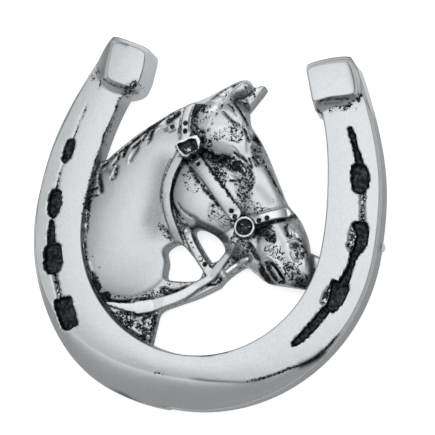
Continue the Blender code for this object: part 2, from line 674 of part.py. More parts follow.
def main():
    clear_scene()
    parts = new_collection("decorative_horseshoe")
    cutters = new_collection("cutters")
    shoe = shoe_body(parts)
    for cutter in crease_cutters(cutters):
        add_boolean(shoe, cutter, "DIFFERENCE", "EXACT")
    raised, cut = halter(cutters)
    eye, face_cuts = face_features(cutters)
    outline = head_outline()
    head = head_relief(outline, cutters)
    for piece in raised:
        add_boolean(head, piece, "UNION")
    trim_head(head, outline, cutters)
    for lock in mane(cutters):
        add_boolean(head, lock, "UNION")
    for piece in cut + face_cuts:
        add_boolean(head, piece, "DIFFERENCE")
    add_boolean(head, eye, "UNION")
    ends = [heel_block("left", cutters), heel_block("right", cutters), lug(cutters)]
    for piece in ends + [head]:
        add_boolean(shoe, piece, "UNION")
    shoe.data.materials.append(metal())
    for helper in cutters.objects:
        helper.hide_render = True
        helper.display_type = "WIRE"
    centre_on_origin([shoe] + ends, list(parts.objects) + list(cutters.objects), parts)


main()
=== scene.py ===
"""A cast pewter horseshoe ornament with a haltered horse's head, dressed and lit for a studio picture.

The CAD solid stays as the frame. One finely carved casting stands for it, with the same outline and sizes.
Lengths in the tables are in millimetres from the centre of the toe's arc, +X to the right and
+Y towards the heels.
"""

import math

import bpy
import numpy as np
from mathutils import Matrix, Vector
from mathutils.kdtree import KDTree


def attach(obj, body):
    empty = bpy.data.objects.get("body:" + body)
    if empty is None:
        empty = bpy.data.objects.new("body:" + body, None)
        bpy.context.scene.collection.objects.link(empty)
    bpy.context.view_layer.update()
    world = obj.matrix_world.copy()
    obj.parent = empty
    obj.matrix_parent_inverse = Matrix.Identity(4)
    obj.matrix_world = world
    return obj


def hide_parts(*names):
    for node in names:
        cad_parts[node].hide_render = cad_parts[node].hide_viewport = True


bl_info = {
    "name": "Cast horseshoe with a horse's head",
    "version": (1, 0, 0),
    "blender": (4, 5, 0),
    "location": "3D View > Sidebar > Horseshoe",
    "description": "Carves and finishes a cast pewter horseshoe ornament and sets up its studio",
    "category": "Object",
}

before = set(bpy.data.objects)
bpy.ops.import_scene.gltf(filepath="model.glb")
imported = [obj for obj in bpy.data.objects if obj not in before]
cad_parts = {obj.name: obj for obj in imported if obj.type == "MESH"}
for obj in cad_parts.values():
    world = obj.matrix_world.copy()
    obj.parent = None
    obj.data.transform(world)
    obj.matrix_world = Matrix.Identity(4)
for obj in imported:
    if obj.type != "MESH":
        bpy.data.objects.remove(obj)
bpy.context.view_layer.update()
MM = 0.001
# Points of a skin that lie closer together than this, in metres, are one.
WELD = 1e-7
TOE_CENTRE = (-0.2324, -0.5712)

# The shoe's middle line is half an ellipse at the toe, then two branches that close in.
HALF_SPREAD = 29.75
TOE_REACH = 30.15
BRANCH_REACH = 34.6
BRANCH_CLOSING = 8.9
BRANCH_POWER = 2.2
WEB_TOE = 10.4
WEB_HEEL = 9.1
WEB_NARROWS = (57.0, 76.0)
THICKNESS = 5.1
CROWN = 0.18
OUTER_DRAFT = 0.45
INNER_EDGE_ROUND = 0.3
OUTER_EDGE_ROUND = 0.25
BEVEL_TOE = 5.9
BEVEL_BRANCH = 0.7
BEVEL_RUN = 36.0
BEVEL_DROP_TOE = {"left": 1.5, "right": 2.5}
BEVEL_DROP_BRANCH = 0.35
BEVEL_ROLL = 1.7
SWELL_AT = 15.0
SWELL_RUN = 12.5
SWELL = {"left": 1.2, "right": 0.0}
BRANCH_STOPS_SHORT = 1.5

# How finely the shoe is divided. Its columns are counted from the breadths of its face and bevel,
# and those of the bevel gather towards the ridge.
LINE_STEPS = 1200
PLAIN_PITCH = 0.7
HEEL_STATIONS = 12
FACE_BREADTH = 8.9
BEVEL_BREADTH = 3.2
BEVEL_GATHERS = 1.4
ROUND_STEPS = 5
CURVE_STEPS = 4

# Nail creases, as (how far from the toe, how far outwards from the middle line) points round each cut.
# A cut is (side, depth, how dark its floor is from 0 to 1, points).
CREASE_CUTS = (
    ("right", 0.9, 0.92, ((70.4, -0.4), (70.8, 0.1), (70.5, 0.5), (69.4, 0.9), (67.4, 1.0), (65.5, 1.4),
        (63.5, 1.8), (63.0, 1.2), (63.4, 0.5), (64.4, 0.3), (66.1, 0.1), (67.9, -0.1))),
    ("right", 1.3, 0.95, ((62.3, -0.6), (63.1, -0.3), (63.5, 0.7), (63.2, 1.9), (62.0, 2.6), (60.1, 2.9),
        (58.3, 2.3), (57.6, 1.3), (57.9, 0.1), (58.9, -0.5))),
    ("right", 0.6, 0.68, ((58.2, 1.1), (58.0, 2.2), (55.1, 2.2), (52.0, 2.4), (52.0, 1.4), (55.0, 1.1))),
    ("right", 1.3, 1.0, ((51.7, -0.1), (52.5, 0.9), (52.3, 2.4), (51.4, 3.1), (49.2, 3.3), (47.3, 2.9),
        (46.2, 1.8), (46.4, 0.6), (48.4, 0.8), (50.3, 0.8))),
    ("right", 0.5, 0.62, ((51.7, 0.2), (50.3, 1.0), (48.4, 1.0), (46.4, 0.8), (47.0, -0.3), (48.2, -0.6),
        (50.9, -0.4))),
    ("right", 1.1, 1.0, ((46.6, 0.5), (46.9, 2.2), (45.2, 1.8), (43.3, 1.6), (40.6, 1.6), (40.4, -0.2),
        (42.9, 0.2), (44.5, 0.5))),
    ("right", 1.3, 0.97, ((39.9, -1.5), (40.7, -1.0), (40.5, 0.2), (40.6, 1.8), (39.3, 2.2), (37.3, 2.1),
        (35.2, 1.6), (34.9, 0.4), (35.2, -0.5), (37.2, -0.8))),
    ("right", 0.5, 0.66, ((39.9, -1.2), (37.2, -0.6), (35.2, -0.3), (35.2, -1.2), (35.5, -1.8), (37.1, -2.0),
        (38.7, -1.8))),
    ("right", 0.9, 0.88, ((35.2, -0.7), (35.2, 0.7), (31.9, 0.7), (29.1, 0.6), (26.5, 0.4), (25.3, -0.1),
        (25.4, -0.6), (26.2, -0.9), (28.4, -1.1), (31.8, -1.0))),
    ("left", 0.08, 0.5, ((68.5, 1.3), (68.3, 1.7), (64.0, 1.5), (61.0, 1.4), (61.0, 0.9), (64.0, 1.1))),
    ("left", 0.9, 0.8, ((59.9, 2.3), (60.8, 2.0), (61.1, 1.0), (60.5, 0.4), (59.0, 0.1), (57.1, 0.3),
        (56.1, 1.0), (56.3, 1.9), (57.6, 2.2))),
    ("left", 0.1, 0.5, ((56.4, 1.7), (56.4, 1.1), (54.0, 1.2), (50.5, 1.0), (50.5, 1.7), (53.1, 1.8))),
    ("left", 1.2, 0.92, ((49.7, 2.6), (50.5, 1.8), (50.4, 0.5), (48.5, -0.2), (46.4, -0.2), (44.7, 0.7),
        (45.1, 2.0), (46.6, 2.6))),
    ("left", 0.9, 0.85, ((44.2, 1.7), (44.2, 0.9), (42.8, 0.4), (39.2, 0.3), (39.2, 1.9), (41.8, 1.9))),
    ("left", 1.3, 1.0, ((38.9, 2.7), (39.6, 1.2), (39.4, -0.6), (38.0, -1.0), (35.4, -0.8), (33.7, 0.5),
        (33.7, 2.0), (34.8, 3.2), (36.7, 3.1))),
    ("left", 0.6, 0.7, ((34.2, 1.8), (34.0, 0.8), (30.9, 0.9), (28.5, 1.3), (28.7, 2.3), (31.3, 2.0))),
    ("left", 1.3, 1.0, ((28.5, 3.3), (28.9, 2.2), (28.3, -0.2), (27.0, -0.4), (22.8, 0.8), (22.5, 1.6),
        (22.9, 3.6), (23.8, 4.2), (25.8, 3.9))),
)
CREASE_SPAN = (21.5, 72.0)
# Cuts that are darker than this are filled with unbroken black.
CREASE_UNBROKEN = 0.75
# Their edges are ragged: (how far they stray, size of the waves, seed) along the shoe and across it.
RAGGED_ALONG = (0.1, 1.3, 3)
RAGGED_ACROSS = (0.1, 1.1, 4)
# Breadths of a cut's soft edges: of its wall, of its dark floor and of its unbroken black.
CREASE_WALL = 0.45
CREASE_DARKENS = 0.3
CREASE_FILLS = 0.8
CREASE_REACH = 1.0
# Irregular waves are a sum of this many, with sizes between these, that comes to about four each way.
WAVES = 10
WAVE_SIZES = (0.7, 1.5)
WAVES_SUM = 4.0

# Heel blocks. A point of their outlines is (how far short of the branch's end, how far outwards from its
# middle line). Their sides are hollow, steeper towards the top with a higher cove.
BLOCK_RISE = 2.1
BLOCK_COVE = 1.6
# Height of the top's dome, and how many times the top's radius it falls off over.
BLOCK_DOME = 0.2
BLOCK_DOME_REACH = 1.2
BLOCK_TOP = {
    "left": ((-0.9, -3.4), (-0.3, -4.6), (2.0, -5.9), (4.4, -6.7), (6.2, -6.8), (7.3, -5.6), (7.8, -3.6),
        (8.1, -1.8), (8.0, -0.5), (7.2, 0.3), (4.6, 1.6), (2.4, 2.8), (1.2, 2.8), (-0.1, 0.2)),
    "right": ((-1.2, -3.7), (-0.7, -4.7), (1.6, -5.1), (4.2, -5.4), (5.8, -5.5), (6.3, -4.7), (6.3, -2.4),
        (6.8, 0.2), (7.0, 1.8), (6.7, 2.8), (3.9, 3.4), (1.2, 3.4), (0.4, 2.7), (-0.6, -0.6)),
}
BLOCK_FOOT = {
    "left": ((-1.8, -2.8), (-1.4, -4.2), (1.2, -5.6), (4.2, -6.7), (6.8, -6.8), (8.8, -5.2), (10.1, -3.0),
        (10.5, -0.8), (9.7, 2.0), (8.3, 3.6), (4.2, 4.6), (1.0, 4.8), (0.1, 4.1), (-0.9, 1.0)),
    "right": ((-2.5, -3.4), (-1.9, -4.7), (1.0, -5.2), (4.4, -5.6), (7.4, -5.6), (8.4, -4.6), (8.3, -2.4),
        (8.4, -0.4), (8.1, 1.6), (7.4, 3.6), (4.4, 4.4), (0.4, 4.2), (-0.8, 3.6), (-1.9, 0.4)),
}
BLOCK_EDGE = 0.35
BLOCK_STEPS = 6
# Rows up the sides, and over the top to its middle, as (first share of the way, last share, how many).
BLOCK_SIDE_ROWS = (0.12, 0.94, 8)
BLOCK_TOP_ROWS = (0.95, 0.04, 14)

# Round lug at the back edge of the right branch.
LUG_RADIUS = 1.0
LUG_HEIGHT = 0.9
LUG_AT = 48.7
LUG_STANDS_OUT = 0.5
LUG_SIDES = 40

# The head's outline, from the neck over the ears and down the face to the chest.
EMBED = 1.6
NECK_JOINS_AT = 24.0
CHEST_JOINS_AT = 256.0
CREST = ((-22.3, 11.4), (-20.1, 13.9), (-16.4, 17.8), (-12.7, 21.0), (-9.4, 23.5), (-5.8, 25.4),
    (-3.4, 26.8))
NEAR_EAR = ((-0.3, 29.0), (3.0, 30.9), (4.5, 30.7), (5.3, 29.1))
FAR_EAR = ((6.8, 30.2), (7.8, 29.8), (6.4, 27.1), (5.0, 24.7))
FOREHEAD = ((5.8, 22.2), (8.1, 19.6), (10.6, 16.0), (13.8, 10.7), (15.9, 7.4), (18.6, 4.9), (20.8, 1.6),
    (21.9, -1.4))
MUZZLE_ROOT = ((24.6, -2.2), (26.2, -5.0), (24.9, -8.6))
JAW = ((17.0, -8.6), (14.7, -8.5), (12.7, -7.4), (10.2, -6.1), (8.4, -7.2), (6.5, -9.2), (5.4, -10.9))
LEAD_UNDERSIDE = ((1.4, -13.6), (-2.4, -15.6), (-5.6, -17.6), (-6.1, -20.6), (-6.3, -24.6))
THROAT_HOLE = ((-6.6, -5.4), (-5.9, -7.7), (-5.7, -10.6), (-3.8, -11.0), (0.6, -10.3), (1.7, -8.6),
    (0.9, -7.4), (-2.4, -4.3), (-4.6, -3.6))
JAW_HOLE = ((-1.4, -1.3), (-0.4, 0.0), (3.3, -1.1), (5.2, -2.9), (5.3, -4.4), (3.8, -6.1), (2.4, -5.8))
OUTLINE_STEPS = 8
WEB_STEPS = 64
# Points of the outline that lie closer together than this are left out.
CLOSEST_POINTS = 0.08
# The carved grid reaches this far past the outline, and is trimmed from below its foot to above its top.
GRID_MARGIN = 1.0
TRIM_FROM = -2.0
TRIM_TO = 12.0

# Swells of the relief: (centre, half length, half breadth, turn in degrees, rim height, top height).
# They melt into each other and into the floor, and a lower blend melts them more softly.
RELIEF_FLOOR = 3.0
BLEND = 3.0
SWELLS = (
    ((-14.5, 1.5), 19.0, 11.5, 72.0, 2.2, 4.9),
    ((-13.5, -8.0), 8.6, 7.6, 20.0, 3.0, 3.9),
    ((0.4, 6.4), 8.2, 7.2, -40.0, 4.0, 6.0),
    ((1.6, 19.8), 7.6, 5.4, -30.0, 4.4, 6.0),
    ((10.2, 8.6), 11.0, 4.6, -58.0, 3.6, 5.6),
    ((17.2, -2.6), 6.6, 4.6, -62.0, 4.1, 5.5),
    ((10.5, -2.4), 7.0, 3.6, -30.0, 3.0, 4.6),
    ((20.6, -4.6), 4.0, 2.6, -60.0, 2.6, 5.0),
    ((3.4, 28.6), 3.2, 1.4, 35.0, 3.0, 4.9),
)

# Ridges and grooves worked along a line, in the order in which they are carved: (points, half breadth,
# height or depth, black left in it, tarnish and painted light). The last is partly tarnish and partly grey
# painted as shade on slopes, walls and hollows; under 0 it is a painted highlight, metal painted brighter
# than its own colour.
STROKES = {
    # Ears.
    "far ear low": (((5.6, 23.2), (6.3, 26.1), (7.8, 28.5), (9.4, 31.1)), 1.3, -0.5, 0.0, 0.0),
    "ear rim": (((-3.1, 24.5), (-2.0, 26.5), (-0.7, 27.8), (0.8, 29.0), (2.2, 30.0), (4.5, 30.4)), 0.45,
        0.54, 0.0, 0.35),
    "ear back": (((-3.0, 24.6), (-1.9, 26.2), (-0.8, 27.7), (0.7, 28.9), (2.2, 29.8), (4.0, 29.9)), 0.3,
        -0.15, 0.0, 0.5),
    "ear back line": (((-2.1, 26.1), (-1.5, 26.9), (-0.8, 27.7), (0.0, 28.3), (1.1, 29.1), (2.0, 29.7)),
        0.15, -0.1, 0.8, 0.4),
    "ear hollow": (((0.8, 26.5), (2.2, 27.4), (3.5, 28.3), (4.6, 29.1)), 1.1, -0.3, 0.05, 0.9),
    "ear hollow b": (((2.6, 26.6), (3.8, 27.2), (4.8, 28.2)), 0.8, -0.1, 0.0, 0.7),
    "ear hollow top": (((3.5, 29.4), (4.4, 28.8), (4.8, 28.2)), 0.45, -0.2, 0.52, 0.6),
    "ear hollow line": (((0.0, 25.2), (0.1, 26.9), (0.6, 28.0)), 0.16, -0.3, 0.75, 0.3),
    "ear tip": (((2.4, 30.1), (3.6, 30.2), (4.7, 29.7)), 0.35, 0.05, 0.2, 0.6),
    "ear root spot": (((-0.2, 25.2), (0.3, 24.5), (0.7, 24.2)), 0.4, -0.4, 1.0, 0.3),
    "ear root": (((0.1, 25.9), (0.5, 26.3)), 0.3, -0.2, 0.8, 0.5),
    "between ears": (((3.7, 27.3), (4.3, 26.2), (5.3, 24.8), (5.9, 23.4)), 0.6, -0.4, 0.1, 0.8),
    "between dot": (((4.2, 26.4), (4.5, 26.0), (4.8, 25.5)), 0.36, -0.3, 1.0, 0.3),
    "far ear": (((5.5, 22.6), (6.1, 25.8), (7.2, 27.7), (8.5, 29.7), (9.8, 31.7)), 1.3, 0.14, 0.0, -1.6),
    "far ear edge": (((7.0, 23.5), (7.7, 25.7), (8.7, 27.1), (9.4, 28.6), (10.2, 30.3)), 0.2, -0.1, 0.45,
        1.0),
    "far ear tip": (((7.6, 30.0), (8.4, 29.5)), 0.2, -0.1, 0.7, 0.4),
    "far ear curl": (((4.9, 27.3), (5.0, 28.0), (5.5, 28.3), (6.0, 27.8), (6.0, 27.2)), 0.13, -0.15, 0.8,
        0.3),
    "far ear curl b": (((5.3, 26.7), (5.8, 27.4)), 0.12, -0.1, 0.7, 0.3),
    # Forehead and temple.
    "forehead side": (((5.8, 22.8), (6.3, 21.1), (7.0, 19.8), (7.8, 18.5)), 0.5, -0.4, 0.05, 0.6),
    "forehead gap": (((5.2, 22.0), (5.6, 20.8), (6.2, 19.7), (7.0, 18.4), (7.5, 17.7)), 0.24, -0.4, 0.97,
        0.4),
    "forehead strip": (((6.7, 18.9), (6.9, 17.1), (7.2, 15.4)), 0.3, -0.1, 0.0, 0.5),
    "temple curl a": (((2.4, 21.1), (3.1, 20.4), (3.5, 19.4), (4.2, 18.7), (5.0, 18.8), (5.7, 19.4)), 0.15,
        -0.15, 0.66, 0.25),
    "temple curl b": (((3.4, 21.1), (4.2, 20.1), (3.9, 19.5)), 0.15, -0.15, 0.7, 0.25),
    "temple curl c": (((2.8, 17.5), (4.0, 17.7), (5.0, 17.5), (5.8, 17.8)), 0.13, -0.1, 0.6, 0.2),
    "temple curl d": (((4.8, 19.2), (5.3, 19.5), (5.7, 19.2), (5.5, 18.7)), 0.14, -0.15, 0.75, 0.2),
    "dot a": (((-0.6, 22.7), (-0.1, 22.6)), 0.3, -0.2, 1.0, 0.2),
    "dot b": (((-1.1, 20.8), (-0.8, 20.4)), 0.27, -0.2, 1.0, 0.2),
    "dot c": (((-1.7, 19.4), (-1.2, 19.2)), 0.3, -0.2, 1.0, 0.2),
    "dot d": (((0.5, 17.7), (1.0, 17.5)), 0.25, -0.2, 1.0, 0.2),
    "dot e": (((-1.2, 21.6), (-0.9, 21.4)), 0.2, -0.1, 0.9, 0.2),
    "dot f": (((2.5, 18.0), (2.8, 17.7)), 0.2, -0.1, 0.9, 0.2),
    "dot g": (((-1.1, 17.2), (-0.3, 17.0)), 0.3, -0.2, 1.0, 0.3),
    "blob a": (((-3.0, 18.0), (-2.2, 17.3), (-2.4, 16.4)), 0.4, -0.3, 1.0, 0.3),
    "blob b": (((-3.6, 19.2), (-2.5, 18.9), (-1.8, 18.5)), 0.28, -0.3, 1.0, 0.3),
    "blob c": (((-5.5, 19.1), (-4.2, 18.4), (-3.3, 18.2)), 0.45, -0.3, 1.0, 0.3),
    "blob d": (((-3.5, 15.4), (-2.0, 15.4), (-0.8, 15.6)), 0.5, -0.4, 1.0, 0.4),
    "blob e": (((-1.4, 16.2), (-0.6, 16.1), (-0.2, 16.6)), 0.24, -0.2, 0.9, 0.3),
    "blob f": (((-2.7, 16.0), (-1.9, 15.9), (-1.2, 16.1)), 0.16, 0.09, 0.0, -0.5),
    "blob g": (((-2.4, 13.9), (-1.1, 13.0), (-0.3, 12.5)), 0.24, -0.2, 0.8, 0.3),
    # Brow and eye.
    "under brow a": (((-0.8, 15.7), (0.2, 15.2), (-0.4, 14.7), (0.8, 14.3), (2.1, 14.8), (3.4, 14.7),
        (4.2, 15.1)), 0.2, -0.3, 0.95, 0.4),
    "under brow b": (((-0.2, 13.2), (0.9, 13.5), (2.1, 13.9), (3.4, 14.3), (4.4, 14.2)), 0.36, -0.5, 1.0,
        0.4),
    "under brow c": (((-0.4, 14.7), (0.8, 14.4), (1.9, 14.6)), 0.3, -0.3, 1.0, 0.4),
    "brow pit": (((4.4, 15.7), (5.0, 15.3), (5.6, 15.1)), 0.26, -0.2, 0.95, 0.3),
    "brow edge": (((3.4, 16.8), (4.7, 16.2), (6.0, 15.0)), 0.14, -0.1, 0.3, 0.45),
    "over lid": (((5.0, 14.6), (6.0, 14.9), (7.1, 14.2), (8.4, 12.9)), 0.26, -0.3, 0.95, 0.4),
    "eye light a": (((6.1, 13.4), (7.0, 12.6), (7.6, 12.0)), 0.1, 0.05, 0.0, -0.5),
    "eye light b": (((6.8, 13.4), (7.7, 12.7), (8.3, 12.1)), 0.1, 0.05, 0.0, -0.5),
    "eye light c": (((4.8, 12.9), (5.3, 12.4)), 0.1, 0.05, 0.0, -0.5),
    "under lid": (((4.3, 10.0), (5.3, 10.0), (6.4, 10.3), (7.5, 10.4)), 0.2, -0.2, 0.92, 0.3),
    "eye left": (((2.5, 13.4), (3.5, 12.8), (4.5, 12.3), (5.9, 11.7)), 0.2, -0.3, 1.0, 0.3),
    # Front of the face.
    "front streak a": (((7.6, 17.1), (8.4, 16.7), (9.4, 16.1)), 0.3, -0.2, 0.75, 0.5),
    "front streak b": (((8.1, 15.4), (9.0, 14.7), (10.0, 13.6)), 0.3, -0.3, 0.88, 0.4),
    "front streak c": (((7.5, 15.1), (8.1, 13.9), (8.7, 12.6)), 0.24, -0.3, 0.92, 0.4),
    "front wall": (((9.6, 17.9), (10.6, 16.1), (11.9, 14.1)), 0.6, -0.2, 0.0, 0.65),
    "front wall b": (((7.5, 19.9), (8.6, 18.8)), 0.5, -0.2, 0.0, 0.6),
    "nose wall": (((11.4, 14.1), (13.0, 11.9), (14.7, 9.8), (16.1, 7.8)), 0.3, -0.2, 0.0, 0.7),
    # Jowl, throat and neck.
    "jowl": (((-5.2, 13.0), (-6.0, 12.4), (-6.3, 10.8), (-6.6, 9.3), (-6.8, 8.0), (-7.0, 6.5), (-6.7, 4.9),
        (-6.0, 3.5), (-4.7, 2.2), (-3.6, 1.0)), 0.38, -0.5, 1.0, 0.5),
    "jowl arch": (((-6.3, 12.4), (-5.9, 13.0), (-5.2, 13.0), (-4.1, 12.1)), 0.32, -0.4, 1.0, 0.4),
    "jowl top a": (((-4.4, 12.3), (-3.4, 11.0), (-2.5, 9.9), (-1.6, 8.9), (-0.8, 8.2)), 0.42, -0.3, 0.86,
        0.4),
    "jowl top b": (((-1.0, 8.1), (0.1, 8.1)), 0.42, -0.2, 1.0, 0.3),
    "jowl top c": (((-0.5, 7.6), (0.5, 7.0), (1.4, 6.5)), 0.44, -0.2, 0.9, 0.3),
    "jowl top d": (((1.2, 6.3), (2.5, 5.8)), 0.4, -0.2, 1.0, 0.3),
    "jowl dot a": (((2.2, 4.8), (2.5, 4.3)), 0.34, -0.2, 1.0, 0.3),
    "jowl dot b": (((3.1, 5.0), (3.4, 4.5)), 0.26, -0.2, 1.0, 0.3),
    "jowl dot c": (((3.9, 4.4), (5.0, 4.0)), 0.26, -0.2, 0.95, 0.3),
    "jowl inner": (((-5.4, 4.7), (-4.5, 3.4), (-3.0, 2.4), (-1.2, 1.8), (0.1, 1.4)), 0.25, -0.25, 0.3, 0.75),
    "jowl back": (((5.7, 3.4), (6.2, 2.3), (6.6, 0.9)), 0.22, -0.2, 0.7, 0.4),
    "neck line": (((-8.2, 14.6), (-8.7, 12.2), (-9.1, 10.1), (-9.2, 8.0), (-9.1, 6.0), (-8.8, 4.0),
        (-8.3, 2.4)), 0.22, -0.15, 0.34, 0.6),
    "throat grey": (((-6.7, 4.1), (-5.9, 2.6), (-4.6, 1.0)), 0.4, -0.3, 0.35, 0.6),
    "throat spark": (((-4.1, 0.6), (-3.2, 0.6)), 0.3, 0.14, 0.0, -0.5),
    "throat spark b": (((-3.4, -0.2), (-2.9, -0.6)), 0.45, 0.16, 0.0, -0.5),
    "throat pit": (((-2.2, -0.3), (-1.2, -0.5)), 0.3, -0.2, 0.95, 0.4),
    "throat pit b": (((-4.4, -1.1), (-3.9, -1.8)), 0.24, -0.2, 0.95, 0.4),
    "throat pit c": (((-3.3, -1.1), (-2.9, -1.5)), 0.3, -0.2, 0.95, 0.4),
    # Nostril and lips.
    # The black groove under the noseband is partly a painted shadow cast by the strap.
    "painted shadow under noseband": (((10.8, 1.2), (11.8, 1.7), (13.0, 2.2), (14.5, 3.1), (15.9, 3.7), (17.4, 4.4)), 0.3,
        -0.6, 1.0, 0.4),
    "noseband front": (((16.6, 6.4), (17.6, 5.6), (18.7, 4.2)), 0.5, -0.3, 0.35, 0.6),
    "nostril top": (((18.8, -1.6), (19.3, -0.8), (20.4, -0.7)), 0.5, -0.5, 1.0, 0.4),
    "nostril rim": (((18.1, -1.0), (18.9, -0.2), (19.7, 0.1), (20.9, 0.0)), 0.34, 0.18, 0.0, -1.1),
    "nostril light": (((19.9, -1.1), (20.4, -1.7)), 0.14, 0.09, 0.0, -0.5),
    "nostril light b": (((20.8, -1.0), (21.2, -1.8)), 0.2, 0.09, 0.0, -0.5),
    "nostril black": (((21.0, -2.0), (21.6, -2.9)), 0.27, -0.2, 1.0, 0.3),
    "nostril side": (((18.9, -2.0), (19.5, -3.1), (20.5, -4.1)), 0.2, -0.3, 0.5, 0.6),
    "upper lip": (((21.3, -2.2), (22.0, -3.2), (22.5, -4.3), (22.8, -5.4), (22.9, -6.7)), 0.95, 0.54, 0.0,
        -0.8),
    "under lip": (((15.6, -9.0), (17.3, -9.0), (19.3, -9.0), (20.8, -9.0)), 0.2, 0.09, 0.1, 0.4),
    "muzzle side": (((20.3, 2.6), (21.5, 0.6), (22.3, -1.0)), 0.35, -0.3, 0.1, 0.65),
    "front spot": (((7.4, 19.2), (8.2, 18.8), (8.9, 18.1)), 0.55, -1.6, 1.0, 0.4),
    # Mane.
    "mane band": (((-22.1, 10.6), (-21.2, 11.7), (-19.9, 13.0), (-18.6, 14.2), (-16.9, 16.2), (-15.2, 18.1),
        (-13.4, 19.9), (-11.5, 21.4), (-9.6, 22.7), (-8.2, 23.3)), 0.26, -0.3, 0.9, 0.4),
    "mane a": (((-19.9, 12.9), (-19.7, 11.8), (-20.1, 10.8), (-20.8, 9.9)), 0.26, -0.4, 0.85, 0.4),
    "mane a side": (((-21.3, 11.0), (-20.8, 11.6), (-20.4, 12.3)), 0.3, 0.07, 0.1, 0.55),
    "mane b": (((-18.0, 15.1), (-18.4, 14.1), (-18.6, 13.2), (-18.7, 11.8)), 0.32, -0.5, 1.0, 0.4),
    "mane c": (((-15.9, 16.4), (-15.9, 15.6), (-16.5, 14.8), (-17.4, 14.0)), 0.28, -0.45, 1.0, 0.4),
    "mane c top": (((-17.9, 15.4), (-17.1, 16.1), (-16.0, 16.5)), 0.22, -0.3, 0.9, 0.4),
    "mane c side": (((-17.1, 15.3), (-16.5, 15.9)), 0.25, 0.05, 0.0, 0.55),
    "mane d": (((-16.0, 15.2), (-16.1, 14.0), (-16.6, 12.8), (-16.9, 12.0), (-16.8, 10.9)), 0.45, -0.2, 0.12,
        0.65),
    "mane d edge": (((-15.9, 15.0), (-16.0, 14.0), (-16.4, 13.0)), 0.18, -0.2, 0.75, 0.5),
    "mane d light": (((-16.7, 13.8), (-17.1, 12.8), (-17.3, 11.8), (-17.2, 10.6)), 0.24, 0.14, 0.0, -0.5),
    "mane e": (((-13.7, 19.2), (-13.7, 18.1), (-13.8, 17.1), (-13.8, 15.9)), 0.36, -0.45, 0.85, 0.6),
    "mane e foot": (((-14.1, 16.0), (-13.6, 15.8)), 0.45, -0.2, 0.6, 0.5),
    "mane e light": (((-14.0, 18.9), (-14.2, 17.9), (-14.3, 16.5)), 0.2, 0.14, 0.0, -0.5),
    "mane f": (((-14.4, 18.3), (-14.9, 17.3), (-15.2, 16.5), (-15.2, 15.6)), 0.2, -0.35, 0.9, 0.5),
    "mane g": (((-15.6, 17.3), (-14.4, 18.6), (-13.3, 19.7), (-12.2, 21.0)), 0.34, -0.4, 1.0, 0.4),
    "mane g light": (((-13.1, 19.4), (-12.4, 20.2), (-11.6, 20.9), (-10.6, 21.7)), 0.18, 0.14, 0.0, -0.5),
    "mane g light b": (((-13.4, 17.5), (-13.0, 18.6), (-12.1, 19.5)), 0.22, 0.07, 0.0, -0.5),
    "mane h": (((-11.4, 20.0), (-10.6, 20.9), (-9.8, 21.8), (-8.4, 23.0)), 0.45, -0.45, 1.0, 0.4),
    "mane h foot": (((-11.3, 19.6), (-10.6, 18.5)), 0.34, -0.2, 0.1, 0.55),
    "mane pit": (((-10.2, 19.5), (-9.4, 19.9)), 0.4, -0.4, 1.0, 0.4),
    "mane pit ring": (((-10.6, 19.4), (-10.2, 20.2), (-9.3, 20.5), (-8.7, 20.0)), 0.16, 0.09, 0.0, 0.3),
    "mane pit side": (((-10.4, 18.4), (-9.6, 18.9), (-8.8, 19.4)), 0.28, -0.1, 0.0, 0.5),
    "mane strap line": (((-8.2, 22.3), (-8.3, 20.9), (-8.2, 19.6), (-8.1, 18.1)), 0.2, -0.2, 0.62, 0.5),
    "mane low leaf": (((-19.5, 10.6), (-19.5, 9.3), (-19.5, 8.2), (-20.0, 7.1)), 0.36, -0.4, 0.75, 0.5),
    "mane low foot": (((-20.4, 7.2), (-19.7, 7.5)), 0.34, -0.2, 0.6, 0.4),
    "mane low light": (((-20.0, 9.9), (-20.2, 8.9), (-20.5, 7.9)), 0.22, 0.14, 0.0, -0.5),
    "mane corner": (((-23.4, 9.8), (-22.5, 10.1), (-21.8, 10.9)), 0.28, -0.3, 1.0, 0.4),
    "mane root": (((-22.4, 9.4), (-21.5, 8.9), (-21.1, 9.5)), 0.5, -0.1, 0.0, 0.4),
    "mane root light": (((-23.6, 9.6), (-23.9, 8.8), (-23.9, 7.8)), 0.25, 0.14, 0.0, -0.5),
    "mane drop": (((-23.6, 8.4), (-22.8, 6.7), (-22.1, 5.3), (-21.6, 3.8)), 0.42, -0.5, 0.95, 0.5),
    "mane root line": (((-24.8, 4.2), (-23.9, 4.7), (-22.6, 5.4)), 0.24, -0.3, 0.9, 0.4),
    "mane root light b": (((-23.8, 4.1), (-22.9, 3.9), (-22.3, 4.4)), 0.28, 0.11, 0.0, -0.5),
    "mane root line b": (((-23.9, 3.3), (-22.2, 3.7)), 0.18, -0.3, 0.8, 0.4),
    # Neck and throat, deeper.
    # The neck dips are grey painted as shade on the slope beside the throat strap.
    "neck dip": (((-9.6, 15.1), (-9.5, 11.7), (-9.4, 8.4), (-9.3, 5.5), (-9.2, 3.1), (-9.0, 0.7),
        (-8.6, -1.7), (-7.7, -4.5)), 2.3, -0.25, 0.0, 0.62),
    "neck dip b": (((-9.8, 6.3), (-9.9, 3.8), (-10.2, 1.7), (-10.2, -0.3), (-9.9, -2.3)), 1.6, -0.1, 0.0,
        0.6),
    "neck end line": (((-7.1, -1.0), (-6.3, -1.9), (-5.4, -3.3)), 0.2, -0.3, 0.75, 0.4),
    "neck end pits": (((-8.2, -0.6), (-7.3, -1.0), (-6.5, -1.9)), 0.26, -0.2, 0.6, 0.2),
    "throat white": (((-6.0, 0.6), (-5.5, -0.3), (-4.8, -1.1), (-4.2, -1.9)), 0.16, 0.18, 0.0, -0.5),
    "throat black": (((-6.1, 0.2), (-5.4, -0.9), (-4.6, -1.8), (-4.1, -2.5)), 0.16, -0.5, 1.0, 0.4),
    "throat blob": (((-4.2, 0.5), (-2.6, 0.5)), 0.3, 0.18, 0.0, -0.5),
    "throat black b": (((-4.2, -0.9), (-3.9, -2.5)), 0.22, -0.5, 1.0, 0.4),
